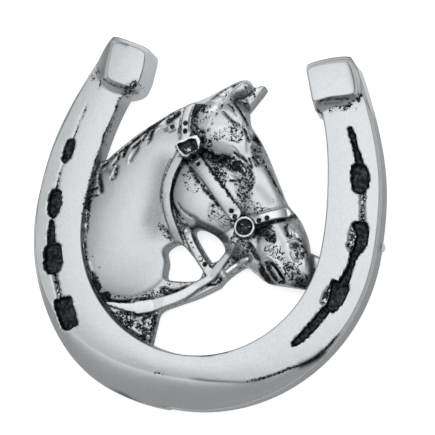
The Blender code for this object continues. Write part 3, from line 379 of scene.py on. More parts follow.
    "throat shadow": (((-1.9, -0.1), (-0.6, -0.6), (0.2, 0.3)), 0.4, -0.3, 0.75, 0.7),
    # Beside the lead strap, and the chest under it.
    "lead top line": (((-17.7, -16.6), (-16.1, -16.9), (-15.0, -17.0), (-13.8, -16.8), (-12.4, -16.4),
        (-11.2, -15.8)), 0.26, -0.4, 1.0, 0.4),
    "lead top line b": (((-11.8, -16.1), (-10.3, -15.8), (-9.1, -15.7), (-7.7, -15.5), (-6.1, -15.0),
        (-4.3, -14.3)), 0.2, -0.35, 0.8, 0.4),
    "chest arc": (((-5.2, -12.6), (-4.2, -13.0), (-2.7, -12.9), (-1.6, -12.4), (-0.8, -11.6)), 0.28, -0.4,
        1.0, 0.5),
    "chest arc b": (((-4.9, -14.4), (-3.7, -14.3), (-2.3, -13.7), (-0.9, -12.6)), 0.22, -0.3, 0.9, 0.4),
    "chest spark": (((-3.9, -13.8), (-3.1, -13.6)), 0.26, 0.14, 0.0, -0.5),
    "chest wedge": (((-5.8, -12.4), (-5.3, -13.5), (-4.3, -14.4)), 0.5, -0.4, 0.85, 0.7),
    "lead under": (((5.9, -8.6), (5.6, -9.6), (4.9, -10.4), (3.7, -10.6), (2.7, -10.9), (1.6, -11.7),
        (0.0, -13.1), (-1.6, -14.4), (-3.3, -15.4), (-4.8, -16.3)), 0.17, -0.5, 1.0, 0.5),
    "lead low line": (((-15.3, -18.8), (-13.6, -18.9), (-11.5, -18.9), (-9.4, -18.6), (-7.8, -18.0),
        (-5.9, -17.0)), 0.24, -0.35, 0.7, 0.5),
    "chest side": (((-9.7, -18.9), (-9.2, -19.6), (-8.9, -20.4)), 0.6, 0.05, 0.0, 0.4),
    "chest light a": (((-7.9, -19.1), (-7.1, -19.8)), 0.5, 0.11, 0.0, -0.5),
    "chest light b": (((-11.7, -20.8), (-10.0, -21.9), (-8.1, -22.6)), 0.4, 0.11, 0.1, -0.5),
    "chest light c": (((-8.3, -20.6), (-6.6, -21.1)), 0.3, 0.09, 0.0, 0.2),
    "chest light d": (((-7.2, -22.3), (-6.2, -22.9)), 0.4, 0.11, 0.0, -0.5),
    "chest black a": (((-9.0, -20.1), (-8.2, -19.2), (-6.9, -18.4)), 0.24, -0.3, 1.0, 0.4),
    "chest black b": (((-12.3, -20.5), (-11.3, -20.9), (-10.6, -21.5)), 0.28, -0.3, 1.0, 0.4),
    "chest black c": (((-6.6, -18.5), (-6.0, -20.2), (-6.0, -22.2), (-6.1, -23.8)), 0.38, -0.4, 0.95, 0.5),
    "chest black d": (((-8.4, -21.6), (-7.0, -21.4)), 0.28, -0.3, 0.9, 0.4),
    "latch foot light": (((2.8, -9.9), (4.0, -9.5), (4.8, -8.7)), 0.45, 0.09, 0.0, -0.5),
    "latch foot dark": (((5.3, -8.7), (5.7, -9.4), (5.1, -10.2)), 0.36, -0.4, 1.0, 0.4),
    # The crevice along the left branch.
    "crevice light a": (((-25.1, 0.4), (-24.1, -0.5)), 0.5, 0.14, 0.0, -0.5),
    "crevice light b": (((-24.8, -1.2), (-23.8, -1.1)), 0.25, 0.14, 0.0, -0.5),
    "crevice light c": (((-24.5, -2.4), (-23.7, -3.4)), 0.45, 0.14, 0.0, -0.5),
    "crevice spot": (((-23.6, -6.1), (-23.1, -7.5)), 0.34, -0.2, 0.9, 0.3),
    "crevice light d": (((-22.1, -9.5), (-21.2, -11.0), (-20.6, -12.1)), 0.3, 0.09, 0.0, 0.2),
    "crevice black e": (((-23.3, -9.8), (-22.1, -12.1), (-20.9, -13.9), (-19.6, -15.5)), 0.35, -0.4, 1.0,
        0.4),
    "crevice f": (((-19.6, -15.7), (-17.7, -18.1), (-15.6, -19.9), (-13.1, -21.8), (-10.2, -23.1),
        (-7.3, -24.0), (-5.3, -24.5)), 0.75, -0.5, 1.0, 0.5),
    "crevice light e": (((-17.0, -17.7), (-15.8, -18.0), (-15.1, -18.5)), 0.34, 0.14, 0.0, 0.1),
    "crevice pits": (((-20.1, -10.7), (-19.4, -10.8), (-18.8, -10.9)), 0.2, 0.0, 0.5, 0.0),
    "crevice pits b": (((-21.6, -8.2), (-20.9, -9.1)), 0.2, 0.0, 0.5, 0.0),
    # Leaves of the ear and forelock.
    "ear leaf": (((-2.0, 23.4), (-0.8, 24.7), (-0.2, 26.1), (1.0, 27.5), (2.3, 28.4), (3.4, 29.2),
        (4.1, 30.1)), 0.6, 0.09, 0.0, -1.0),
    "forelock leaf": (((0.8, 27.0), (2.6, 25.2), (4.2, 23.4), (5.3, 21.9), (6.7, 19.7)), 0.38, 0.27, 0.0,
        -1.2),
    "forelock b": (((3.0, 26.8), (4.1, 25.2), (5.3, 23.7), (6.3, 22.4), (7.3, 20.6)), 0.3, 0.27, 0.0, -1.2),
    "forelock c": (((1.3, 24.5), (2.3, 23.7), (3.3, 22.9), (4.3, 22.0)), 0.4, 0.14, 0.0, -0.7),
    "forelock leaf edge": (((0.6, 23.8), (1.2, 23.1), (2.6, 22.0), (3.4, 21.5), (4.5, 21.1), (5.2, 20.3)),
        0.2, -0.35, 0.78, 0.5),
    "forelock lines": (((1.3, 25.2), (2.4, 24.5), (3.2, 23.5)), 0.2, -0.2, 0.95, 0.3),
    "forelock gap": (((2.2, 26.3), (3.3, 24.9), (4.5, 23.6), (5.8, 21.9), (6.8, 20.5)), 0.2, -0.5, 1.0, 0.7),
    "forelock front": (((4.4, 26.2), (5.2, 25.0), (6.3, 23.6), (7.0, 22.3)), 0.26, -0.4, 0.4, 0.8),
    # Lids, nose and muzzle.
    "lid": (((3.8, 13.2), (4.7, 13.9), (5.9, 14.3), (7.0, 13.9), (8.4, 12.8)), 0.17, 0.16, 0.0, 0.1),
    "eye crescent": (((4.0, 13.1), (4.3, 13.8), (4.8, 14.0)), 0.26, 0.09, 0.0, -0.5),
    "lower lid": (((2.5, 13.0), (3.6, 12.2), (4.7, 11.6), (6.1, 11.2), (7.4, 11.0)), 0.5, 0.18, 0.0, -1.3),
    "nose strip": (((9.9, 13.5), (11.6, 11.5), (13.3, 9.2), (15.2, 6.9)), 0.75, 0.11, 0.0, -0.5),
    "nose edge": (((10.1, 14.9), (11.7, 12.9), (13.5, 10.5), (14.9, 8.8), (16.1, 7.3)), 0.24, -0.3, 0.85,
        0.6),
    "nose groove": (((9.6, 9.8), (11.2, 8.8), (12.6, 7.6), (14.2, 6.2)), 0.7, -0.1, 0.0, 0.35),
    "muzzle light": (((11.7, -0.8), (12.6, -1.9), (13.4, -3.0)), 0.7, 0.09, 0.0, -0.5),
    "muzzle ridge": (((14.0, 3.9), (15.2, 2.7), (16.3, 1.4), (17.4, 0.0), (18.2, -1.6), (19.2, -3.4),
        (20.7, -5.4)), 0.8, 0.2, 0.0, -1.0),
    "muzzle arm": (((18.1, -1.2), (18.6, -0.5)), 0.5, 0.14, 0.0, -0.9),
    "jaw line": (((9.6, -0.9), (10.9, -2.3), (12.2, -3.8), (13.5, -5.3)), 0.36, -0.4, 0.8, 0.4),
    "nose leaf": (((16.8, 3.0), (17.3, 1.9), (18.2, 0.5)), 0.3, -0.3, 0.9, 0.4),
    "nose leaf light": (((17.6, 2.2), (18.1, 1.4)), 0.16, 0.09, 0.0, -0.5),
    "nose leaf b": (((18.8, 1.5), (19.8, 0.6), (20.7, 0.0)), 0.22, -0.3, 1.0, 0.4),
    "nose bright leaf": (((17.4, 3.3), (18.6, 2.1), (20.2, 0.7)), 0.45, 0.14, 0.0, -0.8),
    # Chin and mouth.
    "chin": (((12.9, -4.9), (14.0, -6.3), (15.1, -7.5), (16.4, -8.6)), 0.55, -0.5, 1.0, 0.4),
    "lip ring": (((13.5, -5.6), (13.5, -4.5), (14.1, -3.7), (15.2, -3.8), (16.3, -4.6), (17.7, -6.0),
        (19.1, -7.5), (20.1, -8.4)), 0.36, 0.18, 0.0, -0.2),
    "lip line": (((15.9, -4.1), (17.4, -5.5), (18.8, -7.1), (19.9, -8.0)), 0.13, -0.1, 0.62, 0.3),
    "mouth left": (((14.3, -4.8), (14.8, -5.7), (15.9, -6.8), (17.2, -8.3)), 0.3, -0.6, 1.0, 0.4),
    "mouth right": (((14.9, -4.5), (16.1, -5.1), (17.5, -6.5), (18.9, -8.1)), 0.2, -0.6, 1.0, 0.4),
    "tongue": (((15.5, -5.3), (16.6, -6.4), (17.9, -8.0)), 0.3, 0.16, 0.0, 0.2),
    "mouth line": (((14.1, -5.5), (15.3, -6.9), (16.6, -8.2)), 0.17, 0.14, 0.0, 0.2),
    # Over what was carved before.
    "latch foot": (((1.7, -7.2), (3.5, -8.0), (4.9, -7.8), (6.1, -6.6)), 1.3, 0.41, 0.0, -0.15),
    "jowl top e": (((2.1, 5.9), (3.4, 5.0), (4.8, 4.1)), 0.42, -0.2, 0.86, 0.3),
    "temple light": (((-2.1, 21.9), (0.0, 21.0), (1.5, 19.4)), 2.0, 0.05, 0.0, -0.15),
    "lower lid b": (((3.4, 12.2), (4.5, 11.4), (5.5, 11.1), (6.5, 11.1)), 0.5, 0.18, 0.0, -1.3),
    "ear leaf low": (((-2.9, 22.4), (-1.6, 23.6), (-0.7, 24.8), (-0.2, 26.1), (0.6, 27.6), (1.5, 28.9)), 0.6,
        0.05, 0.0, -1.0),
}
END_TAPER = 0.22
# Nothing of a stroke shows further off than this many half breadths.
STROKE_REACH = 3.2
# A ridge is wiped nearly clean of the black under it, and a stroke's grey of tarnish and painted light
# spreads a little past it.
RIDGE_CLEANS = 0.9
TARNISH_AND_LIGHT_SPREADS = 1.3

# Halter straps: (points along the middle, half breadths at the ends, lift, how dark it is beside the strap,
# tarnish and painted light: grey painted as shade on the duller straps, and under 0 a painted highlight
# where a strap is rubbed bright).
STRAPS = {
    "throat": (((-6.8, 13.8), (-7.5, 11.4), (-7.9, 9.5), (-8.0, 7.4), (-7.9, 5.4), (-7.4, 3.4), (-6.7, 1.6),
        (-5.6, -0.5), (-4.6, -2.2), (-3.8, -3.7)), 0.95, 0.8, 0.3, 0.1, 0.25),
    "lead": (((4.1, -8.5), (3.5, -9.4), (2.3, -10.4), (1.1, -11.3), (-0.3, -12.6), (-1.9, -13.8),
        (-3.6, -14.8), (-5.5, -15.7), (-7.4, -16.6), (-9.8, -17.3)), 0.72, 1.35, 0.45, 0.12, -0.2),
    "lead end": (((-7.8, -16.7), (-9.8, -17.3), (-12.3, -17.6), (-14.4, -17.6), (-16.4, -17.5)), 1.3, 0.35,
        0.45, 0.12, -0.2),
    "latch": (((-2.6, -1.0), (-1.9, -2.4), (-1.0, -3.7), (0.0, -5.0), (1.1, -6.2), (2.3, -7.4), (3.8, -8.8)),
        0.74, 0.92, 0.45, 0.12, -0.2),
    "crown": (((-6.7, 24.6), (-6.9, 22.6), (-6.9, 21.0), (-6.8, 19.4), (-6.5, 17.7)), 0.95, 0.95, 0.4, 0.2,
        -0.1),
    "cheek": (((-4.5, 14.2), (-0.1, 10.4), (2.3, 8.1), (4.5, 5.8), (6.7, 3.7)), 1.35, 1.4, 0.35, 0.25, -0.2),
    "nose": (((9.6, 2.7), (11.3, 3.0), (12.4, 3.5), (14.2, 4.3), (16.7, 5.3)), 0.85, 0.95, 0.35, 0.1, -0.3),
    "chin": (((8.1, -0.2), (7.6, -1.3), (7.1, -2.5), (6.6, -3.6), (5.9, -4.9), (5.3, -6.1), (4.7, -7.2),
        (4.1, -8.5)), 0.68, 0.85, 0.4, 0.12, 0.25),
    "jaw": (((6.8, -7.6), (8.0, -6.4), (9.4, -5.3), (10.6, -4.7)), 0.5, 0.45, 0.5, 0.2, -0.4),
}
STRAP_STEPS = 5
STRAP_EDGE = 0.25
STRAP_ROUND = 0.05
# A strap never lies deeper than this in the form under it.
STRAP_SINKS = 0.3
STRAP_REACH = 1.5
# The gutter beside a strap: how far off it lies, its half breadth, its depth as a share of the strap's
# lift, and its tarnish.
GUTTER_OFF = 0.2
GUTTER_BREADTH = 0.25
GUTTER_DEPTH = 0.4
GUTTER_TARNISH = 0.4

# Plate, knob, ring and punched holes of the halter. The plate and the ring are rubbed bright, and painted
# brighter than the metal's own colour as a highlight.
RUBBED_AND_HIGHLIGHTED = -0.35
PUNCHES = ((2.1, -6.9), (-7.0, 20.6), (-6.8, 19.0), (-3.8, 13.8), (-2.3, 12.4), (6.1, 4.0), (6.9, 3.0),
    (11.8, 2.9), (13.3, 3.6))
PUNCH_RADIUS = 0.4
PUNCH_DEPTH = 0.5
PLATE = ((-7.5, 15.5), (-7.1, 16.4), (-6.1, 16.9), (-4.9, 17.5), (-3.5, 18.0), (-2.5, 17.1), (-2.3, 15.7),
    (-2.7, 14.8), (-3.9, 14.0), (-4.6, 13.2), (-6.1, 13.6))
PLATE_WELL = ((-6.9, 15.7), (-5.7, 16.2), (-4.8, 16.9), (-3.6, 17.0), (-3.1, 16.1), (-2.8, 15.2),
    (-3.9, 14.5), (-4.9, 13.9), (-6.0, 14.5), (-6.6, 15.1))
PLATE_TOP = 6.2
PLATE_EDGE = 0.2
WELL_DARK = 0.85
KNOB_AT = (-4.8, 15.0)
KNOB_RISE = 0.2
KNOB_REACH = 0.4472
RING_AT = (9.3, 1.2)
RING_RADIUS = 2.15
RING_HOLE = 1.5
RING_TOP = 6.2
RING_EDGE = 0.25
RING_ROUND = 0.08
RING_DARK = 0.86
RECESS_DEPTH = 0.9
# Black that stayed round the ring, where the face lies well below it.
HALO_BREADTH = 0.3
HALO_DARK = 0.45
HALO_BELOW = 1.0

# The eyeball: (centre, half length, half breadth, turn in degrees, height).
EYE = ((5.9, 12.7), 2.3, 1.25, -28.0, 0.35)

# Patches where the black finish was left between the polished grains: (points round it, darkness, tarnish
# and painted shade). Their grey is partly painted shade, as on the brow plane, under the jowl and on the
# muzzle below the noseband.
PITTED = {
    "poll": (((-6.9, 24.3), (-3.7, 24.7), (-3.1, 24.1), (-4.1, 23.0), (-4.5, 21.5), (-5.2, 21.5)), 0.9, 0.4),
    "poll worms": (((-4.5, 24.1), (-1.4, 24.4), (0.2, 23.8), (-0.2, 22.9), (-3.1, 22.6)), 0.68, 0.3),
    "poll side": (((-6.2, 22.8), (-4.2, 22.6), (-3.5, 19.7), (-1.7, 18.6), (-2.2, 17.4), (-3.6, 17.6),
        (-5.5, 18.5)), 0.6, 0.3),
    "temple": (((-3.2, 18.0), (-1.8, 17.9), (-0.2, 17.0), (0.0, 15.5), (0.7, 15.0), (-0.5, 14.1),
        (-2.0, 14.2), (-3.5, 15.2), (-3.2, 16.6)), 0.56, 0.3),
    "under brow": (((-0.7, 15.5), (1.3, 14.9), (3.8, 14.9), (5.0, 14.7), (4.3, 13.5), (2.3, 13.1),
        (0.4, 13.0), (-1.5, 13.9)), 0.72, 0.3),
    "cheek worms": (((-2.6, 13.9), (-0.4, 12.9), (2.3, 13.1), (3.7, 11.6), (4.4, 10.4), (3.7, 8.8),
        (2.9, 9.3), (1.1, 10.7), (-0.3, 11.8)), 0.6, 0.0),
    "forehead specks": (((-3.9, 22.0), (-1.2, 22.8), (1.9, 21.5), (2.7, 18.3), (0.8, 17.5), (-1.0, 17.9),
        (-3.0, 19.8)), 0.32, 0.0),
    "temple curls": (((2.3, 21.5), (4.4, 21.4), (5.6, 19.9), (6.0, 18.0), (3.5, 17.6), (2.9, 19.5)), 0.36,
        0.0),
    "eye": (((2.2, 13.8), (3.6, 13.5), (4.1, 14.1), (5.1, 14.4), (6.1, 14.2), (6.9, 13.4), (7.3, 12.6),
        (7.2, 11.7), (6.4, 11.6), (5.0, 12.1), (3.6, 12.8)), 1.0, 0.3),
    "front spot": (((7.9, 19.1), (8.7, 19.1), (9.8, 18.1), (9.0, 17.7), (8.2, 18.2)), 1.0, 0.3),
    "eye below": (((5.7, 9.8), (7.5, 10.2), (9.6, 8.6), (9.4, 6.6), (7.4, 6.0), (6.1, 7.8)), 0.48, 0.4),
    "nose side": (((6.9, 6.4), (9.4, 6.6), (11.9, 6.2), (13.6, 5.4), (9.7, 4.0), (7.7, 3.8), (6.5, 5.1)),
        0.44, 0.1),
    "nose front": (((11.3, 11.3), (12.7, 9.9), (15.2, 6.9), (14.2, 6.3), (12.2, 8.6)), 0.22, 0.0),
    "jowl specks": (((-6.7, 11.5), (-4.8, 11.5), (-2.6, 9.0), (-0.8, 7.2), (-2.5, 6.4), (-4.9, 8.4)), 0.28,
        0.0),
    "jowl low specks": (((1.6, 5.1), (4.9, 4.4), (6.4, 2.0), (4.7, 0.5), (3.0, 1.8), (1.8, 1.2)), 0.3, 0.25),
    # Under the jowl the grey is painted shade.
    "jowl under": (((-3.0, 2.4), (-0.7, 1.8), (1.4, 1.1), (3.5, 0.5), (5.9, -0.8), (6.3, -2.1), (4.7, -2.0),
        (2.3, -1.3), (0.1, -0.5), (-1.7, -0.5), (-0.8, 0.9)), 0.15, 0.95),
    "nose leaf": (((16.6, 3.2), (17.6, 3.3), (18.7, 1.5), (18.6, -0.1), (17.6, 0.5)), 0.5, 0.4),
    "nostril": (((18.7, -1.5), (20.0, -0.6), (21.3, -0.6), (22.2, -2.7), (21.1, -4.6), (19.6, -3.3)), 0.5,
        0.6),
    "neck end": (((-8.6, -0.1), (-7.4, -0.3), (-5.7, -2.4), (-5.3, -3.5), (-6.9, -3.0), (-8.4, -1.4)), 0.38,
        0.1),
    "throat": (((-6.1, 1.4), (-4.2, 1.7), (-2.4, 0.7), (-2.2, -0.8), (-3.2, -2.1), (-4.5, -1.4)), 0.4, 0.3),
    "neck foot": (((-15.7, -16.3), (-14.1, -15.5), (-12.0, -15.4), (-10.0, -14.5), (-8.5, -13.6),
        (-6.6, -13.1), (-5.1, -13.1), (-4.4, -14.6), (-7.8, -15.7), (-10.9, -16.0), (-14.4, -16.8)), 0.42,
        0.0),
    "chest grey": (((-5.0, -11.3), (-1.2, -10.7), (-1.4, -12.1), (-4.6, -12.8)), 0.25, 0.1),
    "chest low grey": (((-4.9, -13.2), (-1.1, -12.4), (-2.3, -13.8), (-4.5, -14.4)), 0.52, 0.6),
    "chest": (((-15.2, -19.3), (-12.4, -19.1), (-9.3, -19.0), (-5.9, -18.0), (-5.3, -20.1), (-5.2, -23.5),
        (-7.1, -23.6), (-10.2, -22.7), (-13.0, -21.6)), 0.68, 0.15),
    "latch foot": (((2.4, -6.5), (3.9, -7.1), (5.3, -5.9), (5.8, -8.6), (4.8, -9.5), (3.3, -9.4),
        (2.3, -8.5)), 0.3, 0.15),
    "crevice top": (((-25.3, 4.3), (-23.8, 4.4), (-23.6, 2.5), (-23.5, 0.4), (-23.2, -1.4), (-23.9, -1.9),
        (-25.1, -2.2), (-25.4, -0.2), (-25.4, 1.7), (-25.2, 3.2)), 0.75, 0.35),
    "crevice mid": (((-25.6, -1.2), (-23.4, -1.3), (-22.9, -4.1), (-24.1, -4.4), (-25.4, -3.1)), 0.6, 0.3),
    "crevice dots": (((-25.4, -4.3), (-23.5, -4.1), (-22.3, -7.7), (-23.4, -8.2), (-24.7, -6.3)), 0.36, 0.1),
    "crevice low": (((-23.7, -7.8), (-22.4, -7.7), (-22.0, -9.3), (-20.8, -11.1), (-19.4, -12.3),
        (-18.8, -13.9), (-18.4, -15.2), (-20.1, -15.8), (-21.5, -13.6), (-22.5, -11.8), (-23.3, -9.8)), 0.66,
        0.3),
    "crevice blob": (((-20.6, -13.5), (-18.8, -13.6), (-18.1, -14.6), (-18.5, -15.7), (-16.6, -15.2),
        (-15.9, -16.2), (-16.5, -17.9), (-18.0, -18.3), (-19.5, -16.9)), 0.95, 0.4),
    "crevice foot": (((-17.3, -18.2), (-14.8, -19.3), (-13.0, -20.4), (-10.8, -22.1), (-8.3, -23.0),
        (-9.2, -23.5), (-12.9, -22.1), (-16.1, -20.2)), 0.8, 0.4),
    # The brow plane holds no black, only grey painted as shade.
    "brow plane": (((-0.7, 17.2), (1.2, 17.4), (2.9, 17.1), (4.4, 16.4), (6.0, 15.1), (4.6, 14.9),
        (2.5, 15.1), (0.2, 15.5)), 0.0, 0.42),
    "eye corner": (((6.6, 13.7), (7.8, 13.3), (9.0, 12.2), (9.8, 10.2), (9.4, 8.6), (8.4, 8.5), (7.3, 10.0),
        (6.7, 11.5)), 0.62, 0.6),
    "front streaks": (((7.4, 17.4), (8.8, 17.6), (10.0, 16.6), (11.0, 14.4), (9.8, 13.1), (8.3, 14.5)), 0.36,
        0.5),
    "noseband wedge": (((10.6, 1.2), (11.7, 1.8), (13.3, 2.3), (13.7, 1.9), (12.6, 1.1), (11.2, 0.1)), 1.0,
        0.4),
    # The muzzle's dark cloud is partly a painted shadow below the noseband.
    "muzzle dark": (((10.9, 1.2), (13.3, 2.1), (14.6, 2.5), (15.8, 0.5), (15.7, -0.9), (14.2, -0.9),
        (12.8, 0.0), (11.3, 0.0)), 0.72, 0.9),
    "muzzle specks": (((13.4, -2.0), (15.1, -1.2), (17.4, -1.7), (18.4, -4.2), (16.7, -4.5), (14.4, -3.2)),
        0.46, 0.0),
    "jaw pits": (((8.6, -1.4), (10.5, -1.0), (12.5, -3.1), (13.4, -5.2), (11.5, -4.4), (9.7, -3.1)), 0.55,
        0.55),
    "lip worms": (((17.8, -4.3), (19.1, -3.8), (20.8, -4.6), (21.5, -5.8), (21.5, -7.5), (19.8, -7.6),
        (18.4, -6.5)), 0.6, 0.3),
    "lip end": (((21.1, -6.7), (22.8, -6.0), (22.6, -8.7), (21.6, -9.1), (19.9, -8.5)), 0.6, 0.6),
    "mouth": (((14.2, -5.0), (15.0, -4.4), (16.1, -5.0), (17.8, -6.6), (18.9, -8.1), (17.1, -8.4),
        (15.3, -6.8)), 0.8, 0.4),
    "behind jaw": (((7.4, -3.5), (8.7, -2.2), (10.1, -3.0), (10.9, -4.4), (9.1, -5.4), (7.2, -5.8)), 0.44,
        0.8),
    "ear": (((0.8, 26.7), (1.8, 27.4), (3.0, 28.1), (4.2, 29.2), (5.2, 29.9), (6.0, 29.2), (6.3, 28.5),
        (5.7, 27.8), (4.9, 27.5), (4.5, 26.6), (3.3, 26.2), (2.5, 25.4), (1.6, 25.4)), 0.34, 0.6),
    "chin black": (((13.2, -5.6), (14.7, -6.5), (16.1, -7.8), (16.7, -8.6), (15.6, -8.8), (14.2, -8.0),
        (13.1, -6.6)), 0.95, 0.4),
}
PATCH_EDGE = 0.6
# Black stays wherever the surface lies below its surroundings: (their size, how dark for each millimetre).
HOLLOWS = ((0.45, 0.8), (1.3, 0.2))
# The grid is widened by this many points on each side while it is blurred.
BLUR_MARGIN = 40

# Marks on the shoe: (points along the middle, half breadth, black left in it, tarnish and painted light).
# Their grey is mostly painted shade on the coves, walls and feet of the blocks and bevel, and a painted dark
# reflection along the toe's ridge; a value over 1 is darker than the tarnish's own colour.
SHOE_MARKS = {
    # The toe ridge's three marks paint a dark reflection along the ridge, in grey and in black.
    "toe ridge": (((3.3, -29.1), (7.3, -28.9), (10.7, -28.5), (13.9, -28.0), (16.4, -27.3), (18.9, -26.1)),
        0.28, 0.0, 0.75),
    "toe ridge black": (((14.3, -27.9), (16.8, -27.0), (19.8, -25.5), (22.1, -24.1), (23.9, -23.2),
        (25.6, -22.1), (27.3, -20.7), (28.6, -19.1), (29.9, -17.0), (30.8, -15.7)), 0.26, 0.8, 1.15),
    "toe ridge thick": (((23.6, -23.4), (25.6, -22.2), (27.3, -20.8), (28.6, -19.1)), 0.6, 0.0, 1.25),
    "toe pits": (((-4.1, -29.4), (-2.5, -29.3), (-0.7, -29.4)), 0.25, 0.36, 0.0),
    "toe foot line": (((-13.7, -33.3), (-10.5, -34.4), (-6.1, -35.5), (-1.9, -35.7), (2.5, -35.4),
        (6.2, -34.9), (10.0, -34.1), (14.3, -32.6), (19.3, -30.3)), 0.16, 0.0, 0.95),
    "toe inner line": (((-5.0, -24.7), (-2.8, -24.6), (-0.7, -24.8), (1.6, -24.8), (4.8, -24.5),
        (6.7, -24.2), (8.1, -23.6), (9.7, -23.0), (11.2, -22.2)), 0.22, 0.3, 1.0),
    "left side line": (((-29.0, 26.9), (-30.8, 22.5), (-32.4, 17.2), (-33.7, 12.4), (-34.5, 7.6),
        (-34.8, 2.9), (-34.6, -1.2), (-34.1, -4.5)), 0.16, 0.2, 0.85),
    "left inner line": (((-21.4, 24.3), (-21.5, 23.8), (-21.7, 21.3), (-22.1, 19.6), (-22.6, 17.9),
        (-23.1, 16.3), (-23.3, 15.0), (-23.3, 13.3)), 0.17, 0.75, 0.9),
    "left inner dots": (((-23.6, 13.3), (-23.9, 10.6), (-24.2, 7.6), (-24.4, 4.3), (-24.6, 2.2),
        (-24.5, -1.6)), 0.28, 0.52, 0.3),
    "right side line": (((27.8, 29.7), (29.3, 27.5), (30.4, 25.6), (31.6, 23.1), (32.6, 20.0), (33.4, 16.7)),
        0.15, 0.2, 0.75),
    "left block foot a": (((-26.0, 27.6), (-24.8, 27.1), (-22.7, 26.1), (-20.3, 25.7), (-19.0, 25.9),
        (-18.1, 26.9)), 0.26, 0.75, 0.5),
    "left block foot b": (((-20.2, 24.5), (-19.2, 24.2), (-17.9, 24.8), (-17.4, 25.7)), 0.6, 0.6, 0.55),
    "left block foot c": (((-21.3, 24.0), (-21.6, 22.4), (-21.6, 21.3)), 0.22, 0.7, 0.4),
    "left block notch": (((-28.2, 28.2), (-27.4, 28.4), (-26.8, 29.2)), 0.45, 0.5, 0.1),
    "left block notch b": (((-26.9, 30.5), (-26.6, 28.8), (-26.2, 27.5), (-25.8, 25.5)), 0.2, 0.52, 0.2),
    "left block notch c": (((-28.9, 27.4), (-27.4, 27.1)), 0.16, 0.6, 0.3),
    "left block notch d": (((-27.1, 27.1), (-25.9, 25.4), (-24.3, 24.6)), 0.14, 0.44, 0.2),
    # The coves are grey painted as shade on the blocks' sloping sides.
    "left block cove": (((-24.8, 35.7), (-25.3, 33.8), (-25.4, 31.6), (-25.5, 29.3), (-25.5, 27.2)), 0.75,
        0.0, 0.75),
    "left block cove top": (((-25.6, 35.8), (-24.2, 35.6), (-22.4, 35.0), (-20.5, 34.2)), 0.45, 0.0, 0.7),
    "left block side": (((-16.9, 32.9), (-16.7, 31.0), (-16.8, 29.0), (-17.1, 27.3)), 0.12, 0.0, 0.6),
    "left block spot": (((-18.2, 24.8), (-17.3, 24.5), (-16.8, 24.3)), 0.5, 0.6, 0.6),
    "right block cove top": (((15.8, 33.4), (17.2, 34.3), (20.6, 35.6), (24.0, 36.2), (25.6, 36.0)), 0.4,
        0.0, 0.75),
    "right block cove side": (((23.7, 37.5), (24.6, 35.6), (25.4, 33.5), (26.2, 31.6), (26.9, 29.5),
        (27.4, 27.9)), 0.65, 0.0, 0.65),
    "right block foot": (((19.0, 26.9), (20.9, 27.6), (22.4, 28.0), (24.2, 28.3), (25.8, 28.7)), 0.2, 0.62,
        0.95),
    "right block foot b": (((19.2, 26.6), (20.8, 27.0), (22.9, 27.5), (24.6, 27.9)), 0.22, 0.3, 0.6),
    "right block foot c": (((21.4, 25.6), (22.4, 26.4), (24.0, 27.0), (24.9, 27.0), (25.9, 28.0),
        (26.7, 28.8)), 0.32, 0.92, 0.5),
    "right block foot d": (((26.5, 28.8), (27.3, 29.0)), 0.42, 1.0, 0.6),
    "right block foot e": (((26.8, 29.8), (27.5, 29.7), (27.8, 30.1)), 0.3, 0.9, 0.4),
    "right notch": (((19.3, 26.1), (20.0, 25.4), (20.8, 25.1)), 0.25, 0.5, 0.6),
    "right face a": (((25.9, 24.7), (27.0, 25.3), (28.1, 25.7)), 0.14, 0.6, 0.2),
    "right face b": (((26.0, 27.4), (27.0, 26.8)), 0.16, 0.4, 0.0),
    "right stud": (((35.7, 2.1), (36.1, 1.1), (36.1, 0.1)), 0.5, 0.45, 1.0),
    "left block shade": (((-20.8, 24.0), (-20.1, 24.8), (-19.1, 25.7), (-18.0, 26.5), (-17.1, 27.4)), 0.75,
        0.66, 0.5),
    "left stretch a": (((-28.0, 21.2), (-28.2, 19.8), (-28.6, 18.3)), 0.2, 0.85, 0.3),
    "left stretch b": (((-28.7, 17.8), (-29.1, 16.2), (-29.4, 14.5), (-29.7, 13.0)), 0.18, 0.8, 0.3),
    "left stretch c": (((-30.8, 8.4), (-31.0, 6.7), (-31.1, 5.0), (-31.1, 3.2)), 0.18, 0.8, 0.3),
}
